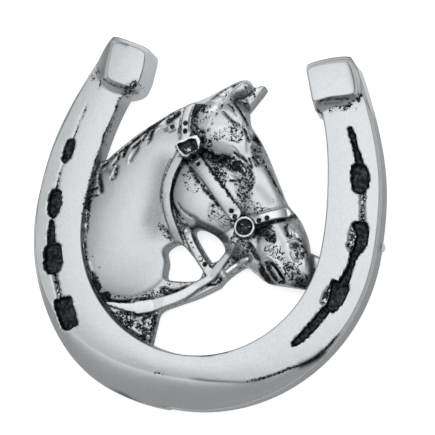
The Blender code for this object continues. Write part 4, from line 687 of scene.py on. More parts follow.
# Marks on the straps, of the same kind. Those without black are grey painted as shade on the side of a
# strap that slopes away from the light.
STRAP_MARKS = {
    "throat shade": (((-8.0, 6.4), (-8.1, 4.4), (-7.5, 2.4), (-6.6, 0.8)), 0.4, 0.0, 0.5),
    "latch ring": (((0.6, -6.0), (0.8, -5.5), (1.2, -5.5), (1.5, -6.0), (1.3, -6.4), (0.8, -6.4),
        (0.6, -6.1)), 0.13, 0.8, 0.4),
    "latch pit a": (((-2.4, -2.3), (-1.9, -2.6)), 0.22, 0.85, 0.4),
    "latch pit b": (((-1.6, -3.1), (-1.1, -3.0)), 0.26, 0.95, 0.4),
    "latch pit c": (((-1.1, -4.0), (-0.6, -3.9)), 0.15, 0.8, 0.3),
    "latch painted shade": (((-2.0, -3.2), (-1.2, -4.3), (-0.1, -5.7)), 0.26, 0.0, 0.4),
    "latch foot spot": (((2.9, -7.2), (3.9, -6.8)), 0.24, 0.9, 0.4),
    "cheek painted shade": (((-5.6, 14.3), (-2.3, 10.9), (0.1, 8.5), (2.1, 6.5), (4.0, 4.6), (5.2, 3.2)), 0.75, 0.0,
        0.5),
    "cheek dots": (((-1.3, 13.1), (0.4, 11.6), (1.8, 10.2), (3.5, 8.6), (4.8, 7.4), (6.0, 6.1), (7.0, 4.8)),
        0.36, 0.84, 0.0),
    "crown painted shade": (((-7.7, 23.9), (-8.0, 22.2), (-8.0, 20.3), (-7.7, 18.2)), 0.34, 0.0, 0.5),
    "chin painted shade": (((7.7, 0.0), (7.2, -1.6), (6.5, -3.1), (5.6, -4.7)), 0.5, 0.0, 0.5),
    "chin ring a": (((7.4, -1.3), (7.4, -0.9), (7.8, -0.7), (8.2, -0.9), (8.2, -1.4), (7.8, -1.6)), 0.13,
        0.95, 0.4),
    "chin ring b": (((6.9, -2.5), (7.0, -2.0), (7.4, -1.9), (7.8, -2.1), (7.8, -2.5)), 0.13, 0.95, 0.4),
    "chin ring c": (((6.6, -3.6), (7.0, -3.2)), 0.18, 0.8, 0.3),
    "ring painted shade": (((7.5, -0.1), (6.9, 1.1), (7.2, 2.4)), 0.3, 0.0, 0.4),
    "nose line": (((10.7, 1.9), (12.2, 2.2), (13.7, 2.8), (14.9, 3.4)), 0.13, 0.75, 0.4),
}
MARK_TAPER = 0.15
# Nothing of a mark shows further off than this many half breadths.
MARK_REACH = 2.5
# Marks on the shoe start at this height over the back, and are whole this much higher.
MARKS_FROM = 2.0
MARKS_FADE = 1.2

# Grey painted as shade on the sheer sides, which would otherwise mirror the bright floor. A wall of the head
# starts this far below the carved surface.
INNER_WALL_SHADE = 0.75
OUTER_WALL_SHADE = 0.9
HEAD_WALL_SHADE = 0.85
BLOCK_WALL_SHADE = 0.42
WALL_STARTS = 0.3
# The heel blocks' finish starts this far short of the branches' ends, changes over this run, and reaches
# this far past the web's inner side.
BLOCK_RUN = 12.0
BLOCK_FADE = 4.0
BLOCK_OVERHANG = 3.0
# Elsewhere the shoe's finish ends this far past the web's inner side, where the head's begins.
SEAM = 0.03
# The creases' black stays within this height over the shoe's face, so that it keeps off the heel blocks.
FACE_CLEARANCE = 0.5
# Black in the crevice where the neck meets the left branch, as far as this Y.
CREVICE_DARK = 0.56
CREVICE_BREADTH = 0.5
CREVICE_END = 12.0
# Edges that turn by more degrees than this stay sharp.
SHARP_FROM = 50.0

# Patterns of the finish, with their sizes in millimetres. The black was only half wiped from the pores of
# the cast skin, so the pores shift its edge by up to half their contrast each way.
PORE_SIZE = 0.5
PORE_CONTRAST = 2.8
# The black starts to show at the first amount and is whole at the second.
SPECKLE_EDGE = (0.44, 0.6)
CREASE_EDGE = (0.42, 0.62)
# Pores count in full above this little black, and less where nearly all is black.
PORES_COUNT_FROM = 0.15
NEARLY_BLACK = 0.7
PORES_IN_BLACK = 0.35
# The wiped metal is faintly cloudy: the least and the most that the clouds add to its tarnish.
CLOUD_SIZE = 0.3
CLOUD_TARNISH = (-0.05, 0.17)
# The black lies thick in patches, and is worn thin between them.
PATCH_SIZE = 0.7
WORN_THIN = (0.44, 0.68)
# A slope starts to take the sheer sides' painted shade where its normal's Z is the first, and does in full at
# the second.
SHEER = (0.6, 0.25)
BLACK_METALLIC = 0.85
# Hair lines of the wiping, stretched along their run, and dents of the cast skin.
HAIR_SIZE = 0.3
HAIR_STRETCH = 0.06
HAIR_TURN = math.radians(-25.0)
HAIR_DEPTH = 0.02 * MM
DENT_SIZE = 4.0
DENT_DEPTH = 0.12 * MM
BLACK_DEPTH = 0.06 * MM

# The camera, as it stood over the ornament: turned towards +X and -Y from straight above, and rolled.
CAMERA_AZIMUTH = math.radians(16.118)
CAMERA_ELEVATION = math.radians(6.309)
CAMERA_ROLL = math.radians(10.115)
CAMERA_DISTANCE = 218.9
CAMERA_CLIP = 0.01
PIXELS_PER_MM = 5.0
PICTURE_SIZE = 435
PICTURE_CENTRE = (205.197, 231.129)
SENSOR = 36.0

# The studio, in metres.
FLOOR_SIZE = 3.0
FLOOR_CLEARANCE = 0.02 * MM
FLOOR_ROUGHNESS = 0.8
FLOOR_GLOW = 0.6
SOFTBOX_AT = (-0.01, 0.13, 0.5)
SOFTBOX_AIM = (-0.01, 0.13, 0.0)
SOFTBOX_SIZE = (0.62, 0.5)
WHITE = (1.0, 1.0, 1.0, 1.0)


def linear(hex_colour):
    """An sRGB hex colour as linear red, green and blue."""
    parts = [int(hex_colour[i:i + 2], 16) / 255 for i in (1, 3, 5)]
    return tuple(part / 12.92 if part <= 0.04045 else ((part + 0.055) / 1.055) ** 2.4 for part in parts)


class CastingSettings(bpy.types.PropertyGroup):
    """How finely the casting is carved, and how round its edges are."""

    relief_pitch: bpy.props.FloatProperty(
        name="Relief pitch", description="Distance between the points of the carved head",
        default=0.157 * MM, unit="LENGTH", precision=5)
    crease_pitch: bpy.props.FloatProperty(
        name="Crease pitch", description="Distance between the shoe's points along the nail creases",
        default=0.25 * MM, unit="LENGTH", precision=5)
    edge_round: bpy.props.FloatProperty(
        name="Edge rounding", description="How far the head's free edges are rounded over",
        default=0.55 * MM, unit="LENGTH", precision=5)


class FinishSettings(bpy.types.PropertyGroup):
    """Colours and roughness of the metal and of the black in its recesses."""

    metal_colour: bpy.props.FloatVectorProperty(
        name="Metal", description="Colour of the polished pewter",
        default=linear("#CBCED0"), subtype="COLOR", min=0.0, max=1.0)
    # The tarnish colour is also the grey of painted shade, and the metal is painted away from it, brighter,
    # for painted highlights.
    tarnish_and_shade_colour: bpy.props.FloatVectorProperty(
        name="Tarnish", description="Colour of the metal that the wiping didn't reach",
        default=linear("#64676A"), subtype="COLOR", min=0.0, max=1.0)
    patina_colour: bpy.props.FloatVectorProperty(
        name="Patina", description="Colour of the black left in the recesses",
        default=linear("#0B0C0D"), subtype="COLOR", min=0.0, max=1.0)
    worn_patina_colour: bpy.props.FloatVectorProperty(
        name="Worn patina", description="Colour of the black where it is thin",
        default=linear("#4E5053"), subtype="COLOR", min=0.0, max=1.0)
    metal_roughness: bpy.props.FloatProperty(
        name="Metal roughness", description="Roughness of the satin metal",
        default=0.4, subtype="FACTOR", min=0.0, max=1.0)
    patina_roughness: bpy.props.FloatProperty(
        name="Patina roughness", description="Roughness of the black in the recesses",
        default=0.5, subtype="FACTOR", min=0.0, max=1.0)


class StudioSettings(bpy.types.PropertyGroup):
    """The floor and the light."""

    floor_colour: bpy.props.FloatVectorProperty(
        name="Floor", description="Colour of the table the ornament lies on",
        default=linear("#FAFAFA"), subtype="COLOR", min=0.0, max=1.0)
    overhead_power: bpy.props.FloatProperty(
        name="Overhead light", description="Power of the large softbox overhead",
        default=1.14, unit="POWER")
    surround: bpy.props.FloatProperty(
        name="Surround", description="Brightness of the tent round the ornament",
        default=0.42, min=0.0)


def smooth_step(value):
    """Rises softly from 0 to 1 as the value goes from 0 to 1."""
    value = np.clip(value, 0.0, 1.0)
    return value * value * (3.0 - 2.0 * value)


def mix(first, last, share):
    """The value this share of the way from the first to the last."""
    return first + (last - first) * share


def bell(away, breadth):
    """A soft hump: 1 at no distance, and a little over a third at this breadth away."""
    return np.exp(-(away / breadth) ** 2)


def soft_edge(inside, breadth, start=0.5):
    """0 outside and 1 inside, across a soft edge of this breadth, of which the start share lies outside."""
    return smooth_step(inside / breadth + start)


def tapered(share, taper):
    """1 along a line, and falling to 0 over this share of it at both ends."""
    return smooth_step(share / taper) * smooth_step((1 - share) / taper)


def lay_over(fields, cover, values):
    """Each field takes its new value where the cover is 1, and keeps its own where that is 0."""
    for field, value in zip(fields, values):
        field[:] = field * (1 - cover) + value * cover


def select_only(thing):
    """Makes this the one selected and active object."""
    bpy.ops.object.select_all(action="DESELECT")
    thing.select_set(True)
    bpy.context.view_layer.objects.active = thing


def middle_line():
    """The shoe's middle line: distances from the toe, the points there and the directions outwards."""
    turn = np.linspace(0.0, math.pi / 2, LINE_STEPS)
    rise = np.linspace(0.0, BRANCH_REACH, LINE_STEPS)[1:]
    closing = BRANCH_CLOSING * (rise / BRANCH_REACH) ** BRANCH_POWER
    x = np.concatenate([HALF_SPREAD * np.sin(turn), HALF_SPREAD - closing])
    y = np.concatenate([-TOE_REACH * np.cos(turn), rise])
    distance = np.concatenate([[0.0], np.cumsum(np.hypot(np.diff(x), np.diff(y)))])
    along_x, along_y = np.gradient(x, distance), np.gradient(y, distance)
    return distance, x, y, along_y, -along_x


LINE_DISTANCE, LINE_X, LINE_Y, OUT_X, OUT_Y = middle_line()
BRANCH_END = float(LINE_DISTANCE[-1])


def on_shoe(distance, outwards, side):
    """The points that lie this far from the toe along the middle line, and this far outwards from it."""
    distance, outwards = np.broadcast_arrays(np.asarray(distance, float), np.asarray(outwards, float))
    past_end = np.maximum(distance - BRANCH_END, 0.0)
    x, y, out_x, out_y = (np.interp(distance, LINE_DISTANCE, row) for row in (LINE_X, LINE_Y, OUT_X, OUT_Y))
    x = x + out_x * outwards - out_y * past_end
    y = y + out_y * outwards + out_x * past_end
    return (x if side == "right" else -x), y


def half_web(distance):
    """Half the breadth of the shoe's web at this distance from the toe."""
    start, end = WEB_NARROWS
    return mix(WEB_TOE, WEB_HEEL, smooth_step((distance - start) / (end - start))) / 2


def bevel_form(distance, side):
    """The bevel's inner edge, outer edge and drop at this distance from the toe."""
    half = half_web(distance)
    fade = 1.0 - smooth_step(distance / BEVEL_RUN)
    swell = SWELL[side] * bell(distance - SWELL_AT, SWELL_RUN)
    mean_drop = sum(BEVEL_DROP_TOE.values()) / 2
    toe_drop = mix(mean_drop, BEVEL_DROP_TOE[side], smooth_step(distance / SWELL_AT))
    return half - mix(BEVEL_BRANCH, BEVEL_TOE, fade), half + swell, mix(BEVEL_DROP_BRANCH, toe_drop, fade)


def distance_to_line(x, y, line):
    """How far each point is from a line of points, and how far along it the nearest place is, from 0 to 1."""
    nearest = np.full(x.shape, np.inf)
    share_along = np.zeros(x.shape)
    lengths = [math.dist(a, b) for a, b in zip(line, line[1:])]
    total, run = sum(lengths), 0.0
    for (ax, ay), (bx, by), length in zip(line, line[1:], lengths):
        share = np.clip(((x - ax) * (bx - ax) + (y - ay) * (by - ay)) / length ** 2, 0.0, 1.0)
        away = np.hypot(x - ax - share * (bx - ax), y - ay - share * (by - ay))
        closer = away < nearest
        nearest = np.where(closer, away, nearest)
        share_along = np.where(closer, (run + share * length) / total, share_along)
        run += length
    return nearest, share_along


def depth_inside(x, y, outline):
    """How far each point is inside a closed outline. It is negative outside."""
    inside = np.zeros(x.shape, bool)
    for (ax, ay), (bx, by) in zip(outline, outline[1:] + outline[:1]):
        if ay != by:
            crosses = (ay > y) != (by > y)
            inside ^= crosses & (x < (bx - ax) * (y - ay) / (by - ay) + ax)
    away = distance_to_line(x, y, outline + outline[:1])[0]
    return np.where(inside, away, -away)


def along_curve(points, steps, closed=False):
    """Points on a smooth curve through the given ones."""
    count = len(points)
    at = [np.array(point) for point in points]
    smooth = []
    for i in range(count if closed else count - 1):
        if closed:
            a, b, c, d = at[i - 1], at[i], at[(i + 1) % count], at[(i + 2) % count]
        else:
            a, b, c, d = at[max(i - 1, 0)], at[i], at[i + 1], at[min(i + 2, count - 1)]
        for t in np.arange(steps) / steps:
            bend = (2 * a - 5 * b + 4 * c - d) * t ** 2 + (3 * b - a - 3 * c + d) * t ** 3
            smooth.append(tuple(b + ((c - a) * t + bend) / 2))
    return smooth if closed else smooth + [points[-1]]


def closed_curve(points, steps=CURVE_STEPS):
    """Points on a smooth curve that closes on itself through the given ones."""
    return along_curve(points, steps, closed=True)


def near_line(x, y, line, reach):
    """Which points are within reach of a line's box, so that the others needn't be measured."""
    xs, ys = zip(*line)
    return (x > min(xs) - reach) & (x < max(xs) + reach) & (y > min(ys) - reach) & (y < max(ys) + reach)


def in_ellipse(x, y, centre, half_length, half_breadth, turn):
    """1 in the middle of an ellipse that is turned by these degrees, 0 on its rim and negative outside."""
    c, s = math.cos(math.radians(turn)), math.sin(math.radians(turn))
    along = ((x - centre[0]) * c + (y - centre[1]) * s) / half_length
    across = ((y - centre[1]) * c - (x - centre[0]) * s) / half_breadth
    return 1.0 - along ** 2 - across ** 2


def waves(x, y, stray, size, seed):
    """Soft irregular waves that stray about this far, of this size in millimetres, the same on each run."""
    maker = np.random.default_rng(seed)
    total = np.zeros(np.shape(x))
    for _ in range(WAVES):
        turn, phase = maker.uniform(0, 2 * math.pi, 2)
        pace = 2 * math.pi / (size * maker.uniform(*WAVE_SIZES))
        total = total + np.sin((x * math.cos(turn) + y * math.sin(turn)) * pace + phase)
    return stray * total / WAVES_SUM


def crease_cut(distance, outwards, side):
    """How deep the nail crease is at these places on the shoe, how dark, and how full of unbroken black."""
    depth, dark, full = (np.zeros(distance.shape) for _ in range(3))
    along = distance + waves(distance, outwards, *RAGGED_ALONG)
    across = outwards + waves(distance, outwards, *RAGGED_ACROSS)
    for cut_side, cut_depth, cut_dark, points in CREASE_CUTS:
        near = near_line(along, across, points, CREASE_REACH)
        if cut_side != side or not near.any():
            continue
        inside = depth_inside(along[near], across[near], closed_curve(points))
        depth[near] = np.maximum(depth[near], cut_depth * soft_edge(inside, CREASE_WALL, 0.25))
        dark[near] = np.maximum(dark[near], cut_dark * np.clip(inside / CREASE_DARKENS, 0.0, 1.0))
        if cut_dark > CREASE_UNBROKEN:
            full[near] = np.maximum(full[near], np.clip(inside / CREASE_FILLS + 0.5, 0.0, 1.0))
    return depth, dark, full


def skin(name, places):
    """A closed solid through rows of places, each a closed ring of (x, y, z) in millimetres."""
    rows, columns = places.shape[:2]
    bpy.ops.object.select_all(action="DESELECT")
    bpy.ops.mesh.primitive_grid_add(x_subdivisions=columns, y_subdivisions=rows - 1, size=1.0)
    made = bpy.context.object
    made.name = made.data.name = name
    flat = points_of(made.data)
    column = np.rint((flat[:, 0] + 0.5) * columns).astype(int) % columns
    row = np.rint((flat[:, 1] + 0.5) * (rows - 1)).astype(int)
    shaped = (places[row, column] + (*TOE_CENTRE, 0.0)) * MM
    made.data.vertices.foreach_set("co", shaped.ravel())
    bpy.ops.object.mode_set(mode="EDIT")
    bpy.ops.mesh.select_all(action="SELECT")
    bpy.ops.mesh.remove_doubles(threshold=WELD)
    bpy.ops.mesh.select_all(action="DESELECT")
    bpy.ops.mesh.select_non_manifold()
    bpy.ops.mesh.fill_holes(sides=0)
    bpy.ops.mesh.select_all(action="SELECT")
    bpy.ops.mesh.normals_make_consistent(inside=False)
    bpy.ops.object.mode_set(mode="OBJECT")
    return made


def points_of(mesh):
    """The mesh's points as rows of (x, y, z), in metres."""
    flat = np.empty(len(mesh.vertices) * 3)
    mesh.vertices.foreach_get("co", flat)
    return flat.reshape(-1, 3)


def level_ring(ring, height):
    """A ring of (x, y) places, all at this height."""
    return np.column_stack([ring, np.full(len(ring), height)])


def prism(name, outline, bottom, top):
    """An upright solid with this outline."""
    return skin(name, np.array([level_ring(outline, height) for height in (bottom, top)]))


def boolean(target, other, operation):
    """Joins the other solid to the target, cuts it out or keeps what they share, and uses it up."""
    select_only(target)
    modifier = target.modifiers.new(other.name, "BOOLEAN")
    modifier.operation = operation
    modifier.solver = "MANIFOLD"
    modifier.object = other
    bpy.ops.object.modifier_apply(modifier=modifier.name)
    bpy.data.objects.remove(other)
    if not target.data.vertices:
        raise RuntimeError(f"the {operation} of {target.name} left nothing")


def shoe_stations(pitch):
    """Signed distances from the toe, close together along the creases. The left side is negative."""
    start, end = CREASE_SPAN
    last = BRANCH_END - BRANCH_STOPS_SHORT
    side = np.concatenate([
        np.arange(0.0, start, PLAIN_PITCH),
        np.arange(start, end, pitch),
        np.linspace(end, last, HEEL_STATIONS),
    ])
    return np.concatenate([-side[:0:-1], side])


def shoe_rings(pitch):
    """Cross-sections of the shoe: inner wall, face with its creases, bevel, outer wall and back."""
    face_columns, bevel_columns = round(FACE_BREADTH / pitch), round(BEVEL_BREADTH / pitch)
    across_face = np.linspace(0.0, 1.0, face_columns)
    across_bevel = np.linspace(0.0, 1.0, bevel_columns + 1)[1:] ** BEVEL_GATHERS
    turn = np.linspace(0.0, math.pi / 2, ROUND_STEPS)
    wall = np.array([0.0, 0.5, 1.0])
    rings = []
    for station in shoe_stations(pitch):
        side = "left" if station < 0 else "right"
        distance = abs(station)
        half = half_web(distance)
        ridge, outer, drop = bevel_form(distance, side)
        inner, edge = -half + INNER_EDGE_ROUND, outer - OUTER_EDGE_ROUND
        outwards = np.concatenate([mix(inner, ridge, across_face), mix(ridge, edge, across_bevel)])
        height = THICKNESS + np.concatenate([
            CROWN * np.sin(math.pi * across_face), -drop * across_bevel ** BEVEL_ROLL])
        if CREASE_SPAN[0] < distance < CREASE_SPAN[1]:
            height = height - crease_cut(np.full(outwards.shape, distance), outwards, side)[0]
        outwards = np.concatenate([
            np.full(wall.shape, -half), -half + INNER_EDGE_ROUND * (1 - np.cos(turn[1:-1])), outwards,
            edge + OUTER_EDGE_ROUND * np.sin(turn[1:]), [outer + OUTER_DRAFT / 2, outer + OUTER_DRAFT]])
        low = THICKNESS - drop
        height = np.concatenate([
            (THICKNESS - INNER_EDGE_ROUND) * wall,
            THICKNESS - INNER_EDGE_ROUND * (1 - np.sin(turn[1:-1])), height,
            low - OUTER_EDGE_ROUND * (1 - np.cos(turn[1:])), [low / 2, 0.0]])
        x, y = on_shoe(distance, outwards, side)
        rings.append(np.stack([x, y, height], axis=1))
    return np.array(rings)


def heel_block_rings(side):
    """A cushion: foot, hollow sloping sides, a rounded edge and a slightly domed top."""
    def ring(outline, draft=0.0):
        half = half_web(BRANCH_END)
        return np.array([on_shoe(BRANCH_END - back, out + draft * max(out, 0.0) / half, side)
                         for back, out in closed_curve(outline, BLOCK_STEPS)])

    foot, top = ring(BLOCK_FOOT[side]), ring(BLOCK_TOP[side])
    centre = top.mean(axis=0)
    crest = THICKNESS + BLOCK_RISE
    rings = [(ring(BLOCK_FOOT[side], OUTER_DRAFT), 0.0), (foot, THICKNESS)]
    for share in np.linspace(*BLOCK_SIDE_ROWS):
        rings.append((mix(foot, top, share), THICKNESS + (BLOCK_RISE - BLOCK_EDGE) * share ** BLOCK_COVE))
    reach = np.linalg.norm(top - centre, axis=1).mean()
    for turn in np.linspace(0.0, math.pi / 2, ROUND_STEPS):
        inwards = 1.0 - BLOCK_EDGE * (1 - math.cos(turn)) / reach
        rings.append((mix(centre, top, inwards), crest - BLOCK_EDGE * (1 - math.sin(turn))))
    flat = 1.0 - BLOCK_EDGE / reach
    for share in np.linspace(*BLOCK_TOP_ROWS):
        rings.append((mix(centre, top, flat * share), crest))
    places = np.array([level_ring(outline, height) for outline, height in rings])
    raised = np.clip((places[:, :, 2] - THICKNESS) / BLOCK_RISE, 0.0, 1.0)
    spread = np.linalg.norm(places[:, :, :2] - centre, axis=2) / reach
    places[:, :, 2] += BLOCK_DOME * raised * (1 - np.minimum(spread, BLOCK_DOME_REACH) ** 2)
    return places


def in_the_web():
    """The head's outline where it is buried in the left branch, from the chest to the crest."""
    turn = np.radians(np.linspace(CHEST_JOINS_AT, 180.0 - NECK_JOINS_AT, WEB_STEPS))
    across = (HALF_SPREAD - WEB_TOE / 2 + EMBED) * np.cos(turn)
    along = (TOE_REACH - WEB_TOE / 2 + EMBED) * np.sin(turn)
    return list(zip(across, along))


def head_outline():
    """The head's whole outline, smooth along each edge and sharp where two edges meet."""
    near_ear = CREST[-1:] + NEAR_EAR
    forehead = FAR_EAR[-1:] + FOREHEAD
    underside = JAW[-1:] + LEAD_UNDERSIDE
    points = []
    for edge in (CREST, near_ear, FAR_EAR, forehead, MUZZLE_ROOT, JAW, underside):
        for point in along_curve(edge, OUTLINE_STEPS):
            if not points or math.dist(points[-1], point) > CLOSEST_POINTS:
                points.append(point)
    return points + in_the_web()


def swell_height(x, y):
    """The large rounded forms of the relief, melted into each other."""
    total = np.exp(BLEND * RELIEF_FLOOR * np.ones_like(x))
    for *ellipse, rim, top in SWELLS:
        inside = in_ellipse(x, y, *ellipse)
        height = mix(rim, top, np.where(inside > 0, np.sqrt(np.maximum(inside, 0.0)), 2.0 * inside))
        total = total + np.exp(BLEND * np.maximum(height, 0.0))
    return np.log(total) / BLEND


def stain_patches(x, y, dark, grey):
    """Adds the black of the pitted patches, and their grey of tarnish and painted shade."""
    for points, darkness, tarnish_and_painted_light in PITTED.values():
        outline = closed_curve(points)
        near = near_line(x, y, outline, PATCH_EDGE)
        cover = soft_edge(depth_inside(x[near], y[near], outline), PATCH_EDGE)
        dark[near] = np.maximum(dark[near], darkness * cover)
        grey[near] = np.maximum(grey[near], tarnish_and_painted_light * cover)


def carve_strokes(x, y, height, dark, grey):
    """Works the ridges and grooves into the head, with their black, tarnish, painted shade and highlights."""
    for points, half_breadth, rise, darkness, tarnish_and_painted_light in STROKES.values():
        line = along_curve(points, CURVE_STEPS)
        near = near_line(x, y, line, STROKE_REACH * half_breadth)
        away, share = distance_to_line(x[near], y[near], line)
        ends = tapered(share, END_TAPER)
        core = bell(away, half_breadth)
        height[near] += rise * core * ends
        keep = 1.0 - RIDGE_CLEANS * core * ends if rise > 0 else 1.0
        dark[near] = np.maximum(dark[near] * keep, darkness * core * np.sqrt(ends))
        soft = bell(away, half_breadth * TARNISH_AND_LIGHT_SPREADS) * np.sqrt(ends)
        grey[near] = np.maximum(grey[near] * keep, max(tarnish_and_painted_light, 0.0) * soft) + min(tarnish_and_painted_light, 0.0) * soft


def set_eye(x, y, height):
    """Raises the eyeball."""
    *ellipse, rise = EYE
    height += rise * np.sqrt(np.maximum(in_ellipse(x, y, *ellipse), 0.0))


def lay_straps(x, y, plain, height, dark, grey):
    """Each strap is flat across, at the height that the head has under its middle line."""
    laid = np.zeros_like(x)
    for points, first_half, last_half, lift, beside, tarnish_and_painted_light in STRAPS.values():
        line = along_curve(points, STRAP_STEPS)
        near = near_line(x, y, line, max(first_half, last_half) + STRAP_REACH)
        away, share = distance_to_line(x[near], y[near], line)
        half = mix(first_half, last_half, share)
        on_strap = soft_edge(half - away, STRAP_EDGE)
        run = np.cumsum([0.0] + [math.dist(a, b) for a, b in zip(line, line[1:])])
        level = np.interp(share, run / run[-1], swell_height(*np.array(line).T))
        top = np.maximum(level, plain[near] - STRAP_SINKS) + lift + STRAP_ROUND * (1 - (away / half) ** 2)
        gutter = bell(away - half - GUTTER_OFF, GUTTER_BREADTH) * (1 - laid[near])
        laid[near] = np.maximum(laid[near], on_strap)
        under = (height[near] - GUTTER_DEPTH * lift * gutter, np.maximum(dark[near], beside * gutter),
                 np.maximum(grey[near], GUTTER_TARNISH * gutter))
        # A strap takes its tarnish and painted light: grey painted as shade, or under 0 a painted highlight.
        lay_over(under, on_strap, (top, 0.0, tarnish_and_painted_light))
        height[near], dark[near], grey[near] = under


def raise_plate_and_ring(x, y, height, dark, grey):
    """The buckle plate with its well and knob, the ring with its hole, and the punched holes."""
    fields = (height, dark, grey)
    in_well = soft_edge(depth_inside(x, y, closed_curve(PLATE_WELL)), PLATE_EDGE)
    knob = bell(np.hypot(x - KNOB_AT[0], y - KNOB_AT[1]), KNOB_REACH)
    top = PLATE_TOP - RECESS_DEPTH * in_well + KNOB_RISE * knob
    on_plate = soft_edge(depth_inside(x, y, closed_curve(PLATE)), PLATE_EDGE)
    lay_over(fields, on_plate, (top, WELL_DARK * in_well - knob, RUBBED_AND_HIGHLIGHTED))
    away = np.hypot(x - RING_AT[0], y - RING_AT[1])
    on_ring = soft_edge(RING_RADIUS - away, RING_EDGE)
    in_hole = soft_edge(RING_HOLE - away, RING_EDGE)
    middle = (RING_RADIUS + RING_HOLE) / 2
    rounding = RING_ROUND * ((away - middle) / (RING_RADIUS - middle)) ** 2 * (1 - in_hole)
    lay_over(fields, on_ring, (RING_TOP - rounding - RECESS_DEPTH * in_hole, RING_DARK * in_hole, RUBBED_AND_HIGHLIGHTED))
    halo = bell(away - RING_RADIUS - HALO_BREADTH, HALO_BREADTH) * (1 - on_ring)
    dark[:] = np.maximum(dark, HALO_DARK * halo * (height < RING_TOP - HALO_BELOW))
    for punch_x, punch_y in PUNCHES:
        hole = soft_edge(PUNCH_RADIUS - np.hypot(x - punch_x, y - punch_y), PLATE_EDGE)
        height -= PUNCH_DEPTH * hole
        dark[:] = np.maximum(dark, hole)


def draw_marks(marks, x, y, dark, grey):
    """Adds the black of lines that are only finish, and their grey of tarnish, painted shade and reflection.
    """
    for points, half_breadth, darkness, tarnish_and_painted_light in marks.values():
        line = along_curve(points, CURVE_STEPS)
        near = near_line(x, y, line, MARK_REACH * half_breadth)
        away, share = distance_to_line(x[near], y[near], line)
        core = bell(away, half_breadth) * np.sqrt(tapered(share, MARK_TAPER))
        dark[near] = np.maximum(dark[near], darkness * core)
        grey[near] = np.maximum(grey[near], tarnish_and_painted_light * core)


def head_form(x, y):
    """Heights, black, and tarnish with painted shade and highlights, of the carved head at these places."""
    plain = swell_height(x, y)
    height, dark, grey = plain.copy(), np.zeros(x.shape), np.zeros(x.shape)
    stain_patches(x, y, dark, grey)
    carve_strokes(x, y, height, dark, grey)
    set_eye(x, y, height)
    lay_straps(x, y, plain, height, dark, grey)
    raise_plate_and_ring(x, y, height, dark, grey)
    draw_marks(STRAP_MARKS, x, y, dark, grey)
    return height, dark, grey


def edge_roll(x, y, outline, radius):
    """How far the surface drops where it rounds over to the head's free edges."""
    holes = [closed_curve(hole, OUTLINE_STEPS) for hole in (THROAT_HOLE, JAW_HOLE)]
    drop = np.zeros(x.shape)
    for edge, way in ((outline, 1), *((hole, -1) for hole in holes)):
        inwards = np.clip(way * depth_inside(x, y, edge), 0.0, radius)
        drop = np.maximum(drop, radius - np.sqrt(radius ** 2 - (radius - inwards) ** 2))
    return drop


def blurred(field, pitch, size):
    """A grid of values, softened over this size in millimetres."""
    padded = np.pad(field, BLUR_MARGIN, mode="edge")
    wide = np.fft.rfftfreq(padded.shape[1], pitch)
    tall = np.fft.fftfreq(padded.shape[0], pitch)[:, None]
    soft = np.exp(-2 * (math.pi * size) ** 2 * (wide ** 2 + tall ** 2))
    inner = slice(BLUR_MARGIN, -BLUR_MARGIN)
    return np.fft.irfft2(np.fft.rfft2(padded) * soft, s=padded.shape)[inner, inner]


class HeadRelief:
    """The carved head as grids of heights and darkness, which the mesh and its finish are both read from."""

    def __init__(self, pitch, edge_round):
        self.pitch = pitch
        self.outline = head_outline()
        self.xs, self.ys = (np.arange(min(row) - GRID_MARGIN, max(row) + GRID_MARGIN, pitch)
                            for row in zip(*self.outline))
        self.x, self.y = np.meshgrid(self.xs, self.ys)
        x, y = self.x.ravel(), self.y.ravel()
        height, dark, grey = head_form(x, y)
        self.height = (height - edge_roll(x, y, self.outline, edge_round)).reshape(self.x.shape)
        hollow = sum(darkness * np.maximum(blurred(self.height, pitch, size) - self.height, 0.0)
                     for size, darkness in HOLLOWS)
        self.dark = np.clip(np.maximum(dark.reshape(self.x.shape), hollow), 0.0, 1.0)
        self.grey = grey.reshape(self.x.shape)

    def read(self, field, x, y):
        """Values of a grid at any places, blended from the four nearest points. Outside it, the edge's."""
        column = np.clip((x - self.xs[0]) / self.pitch, 0, len(self.xs) - 1.001)
        row = np.clip((y - self.ys[0]) / self.pitch, 0, len(self.ys) - 1.001)
        i, j = column.astype(int), row.astype(int)
        low = mix(field[j, i], field[j, i + 1], column - i)
        high = mix(field[j + 1, i], field[j + 1, i + 1], column - i)
        return mix(low, high, row - j)


def head_solid(relief):
    """A slab under the carved surface, trimmed to the head's outline and pierced by its two holes."""
    surface = np.stack([relief.x, relief.y, relief.height], axis=2)
    foot = surface[:, ::-1][:, [0, -1]].copy()
    foot[:, :, 2] = 0.0
    head = skin("horse_head", np.concatenate([surface, foot], axis=1))
    boolean(head, prism("head_outline", relief.outline, TRIM_FROM, TRIM_TO), "INTERSECT")
    for hole in (THROAT_HOLE, JAW_HOLE):
        boolean(head, prism("hole", closed_curve(hole, OUTLINE_STEPS), TRIM_FROM, TRIM_TO), "DIFFERENCE")
    return head


def lug():
    """The small round lug, flush with the back."""
    reach = half_web(LUG_AT) + OUTER_DRAFT + LUG_STANDS_OUT - LUG_RADIUS
    x, y = on_shoe(LUG_AT, reach, "right")
    turn = np.linspace(0.0, 2 * math.pi, LUG_SIDES, endpoint=False)
    rim = list(zip(x + LUG_RADIUS * np.cos(turn), y + LUG_RADIUS * np.sin(turn)))
    return prism("lug", rim, 0.0, LUG_HEIGHT)


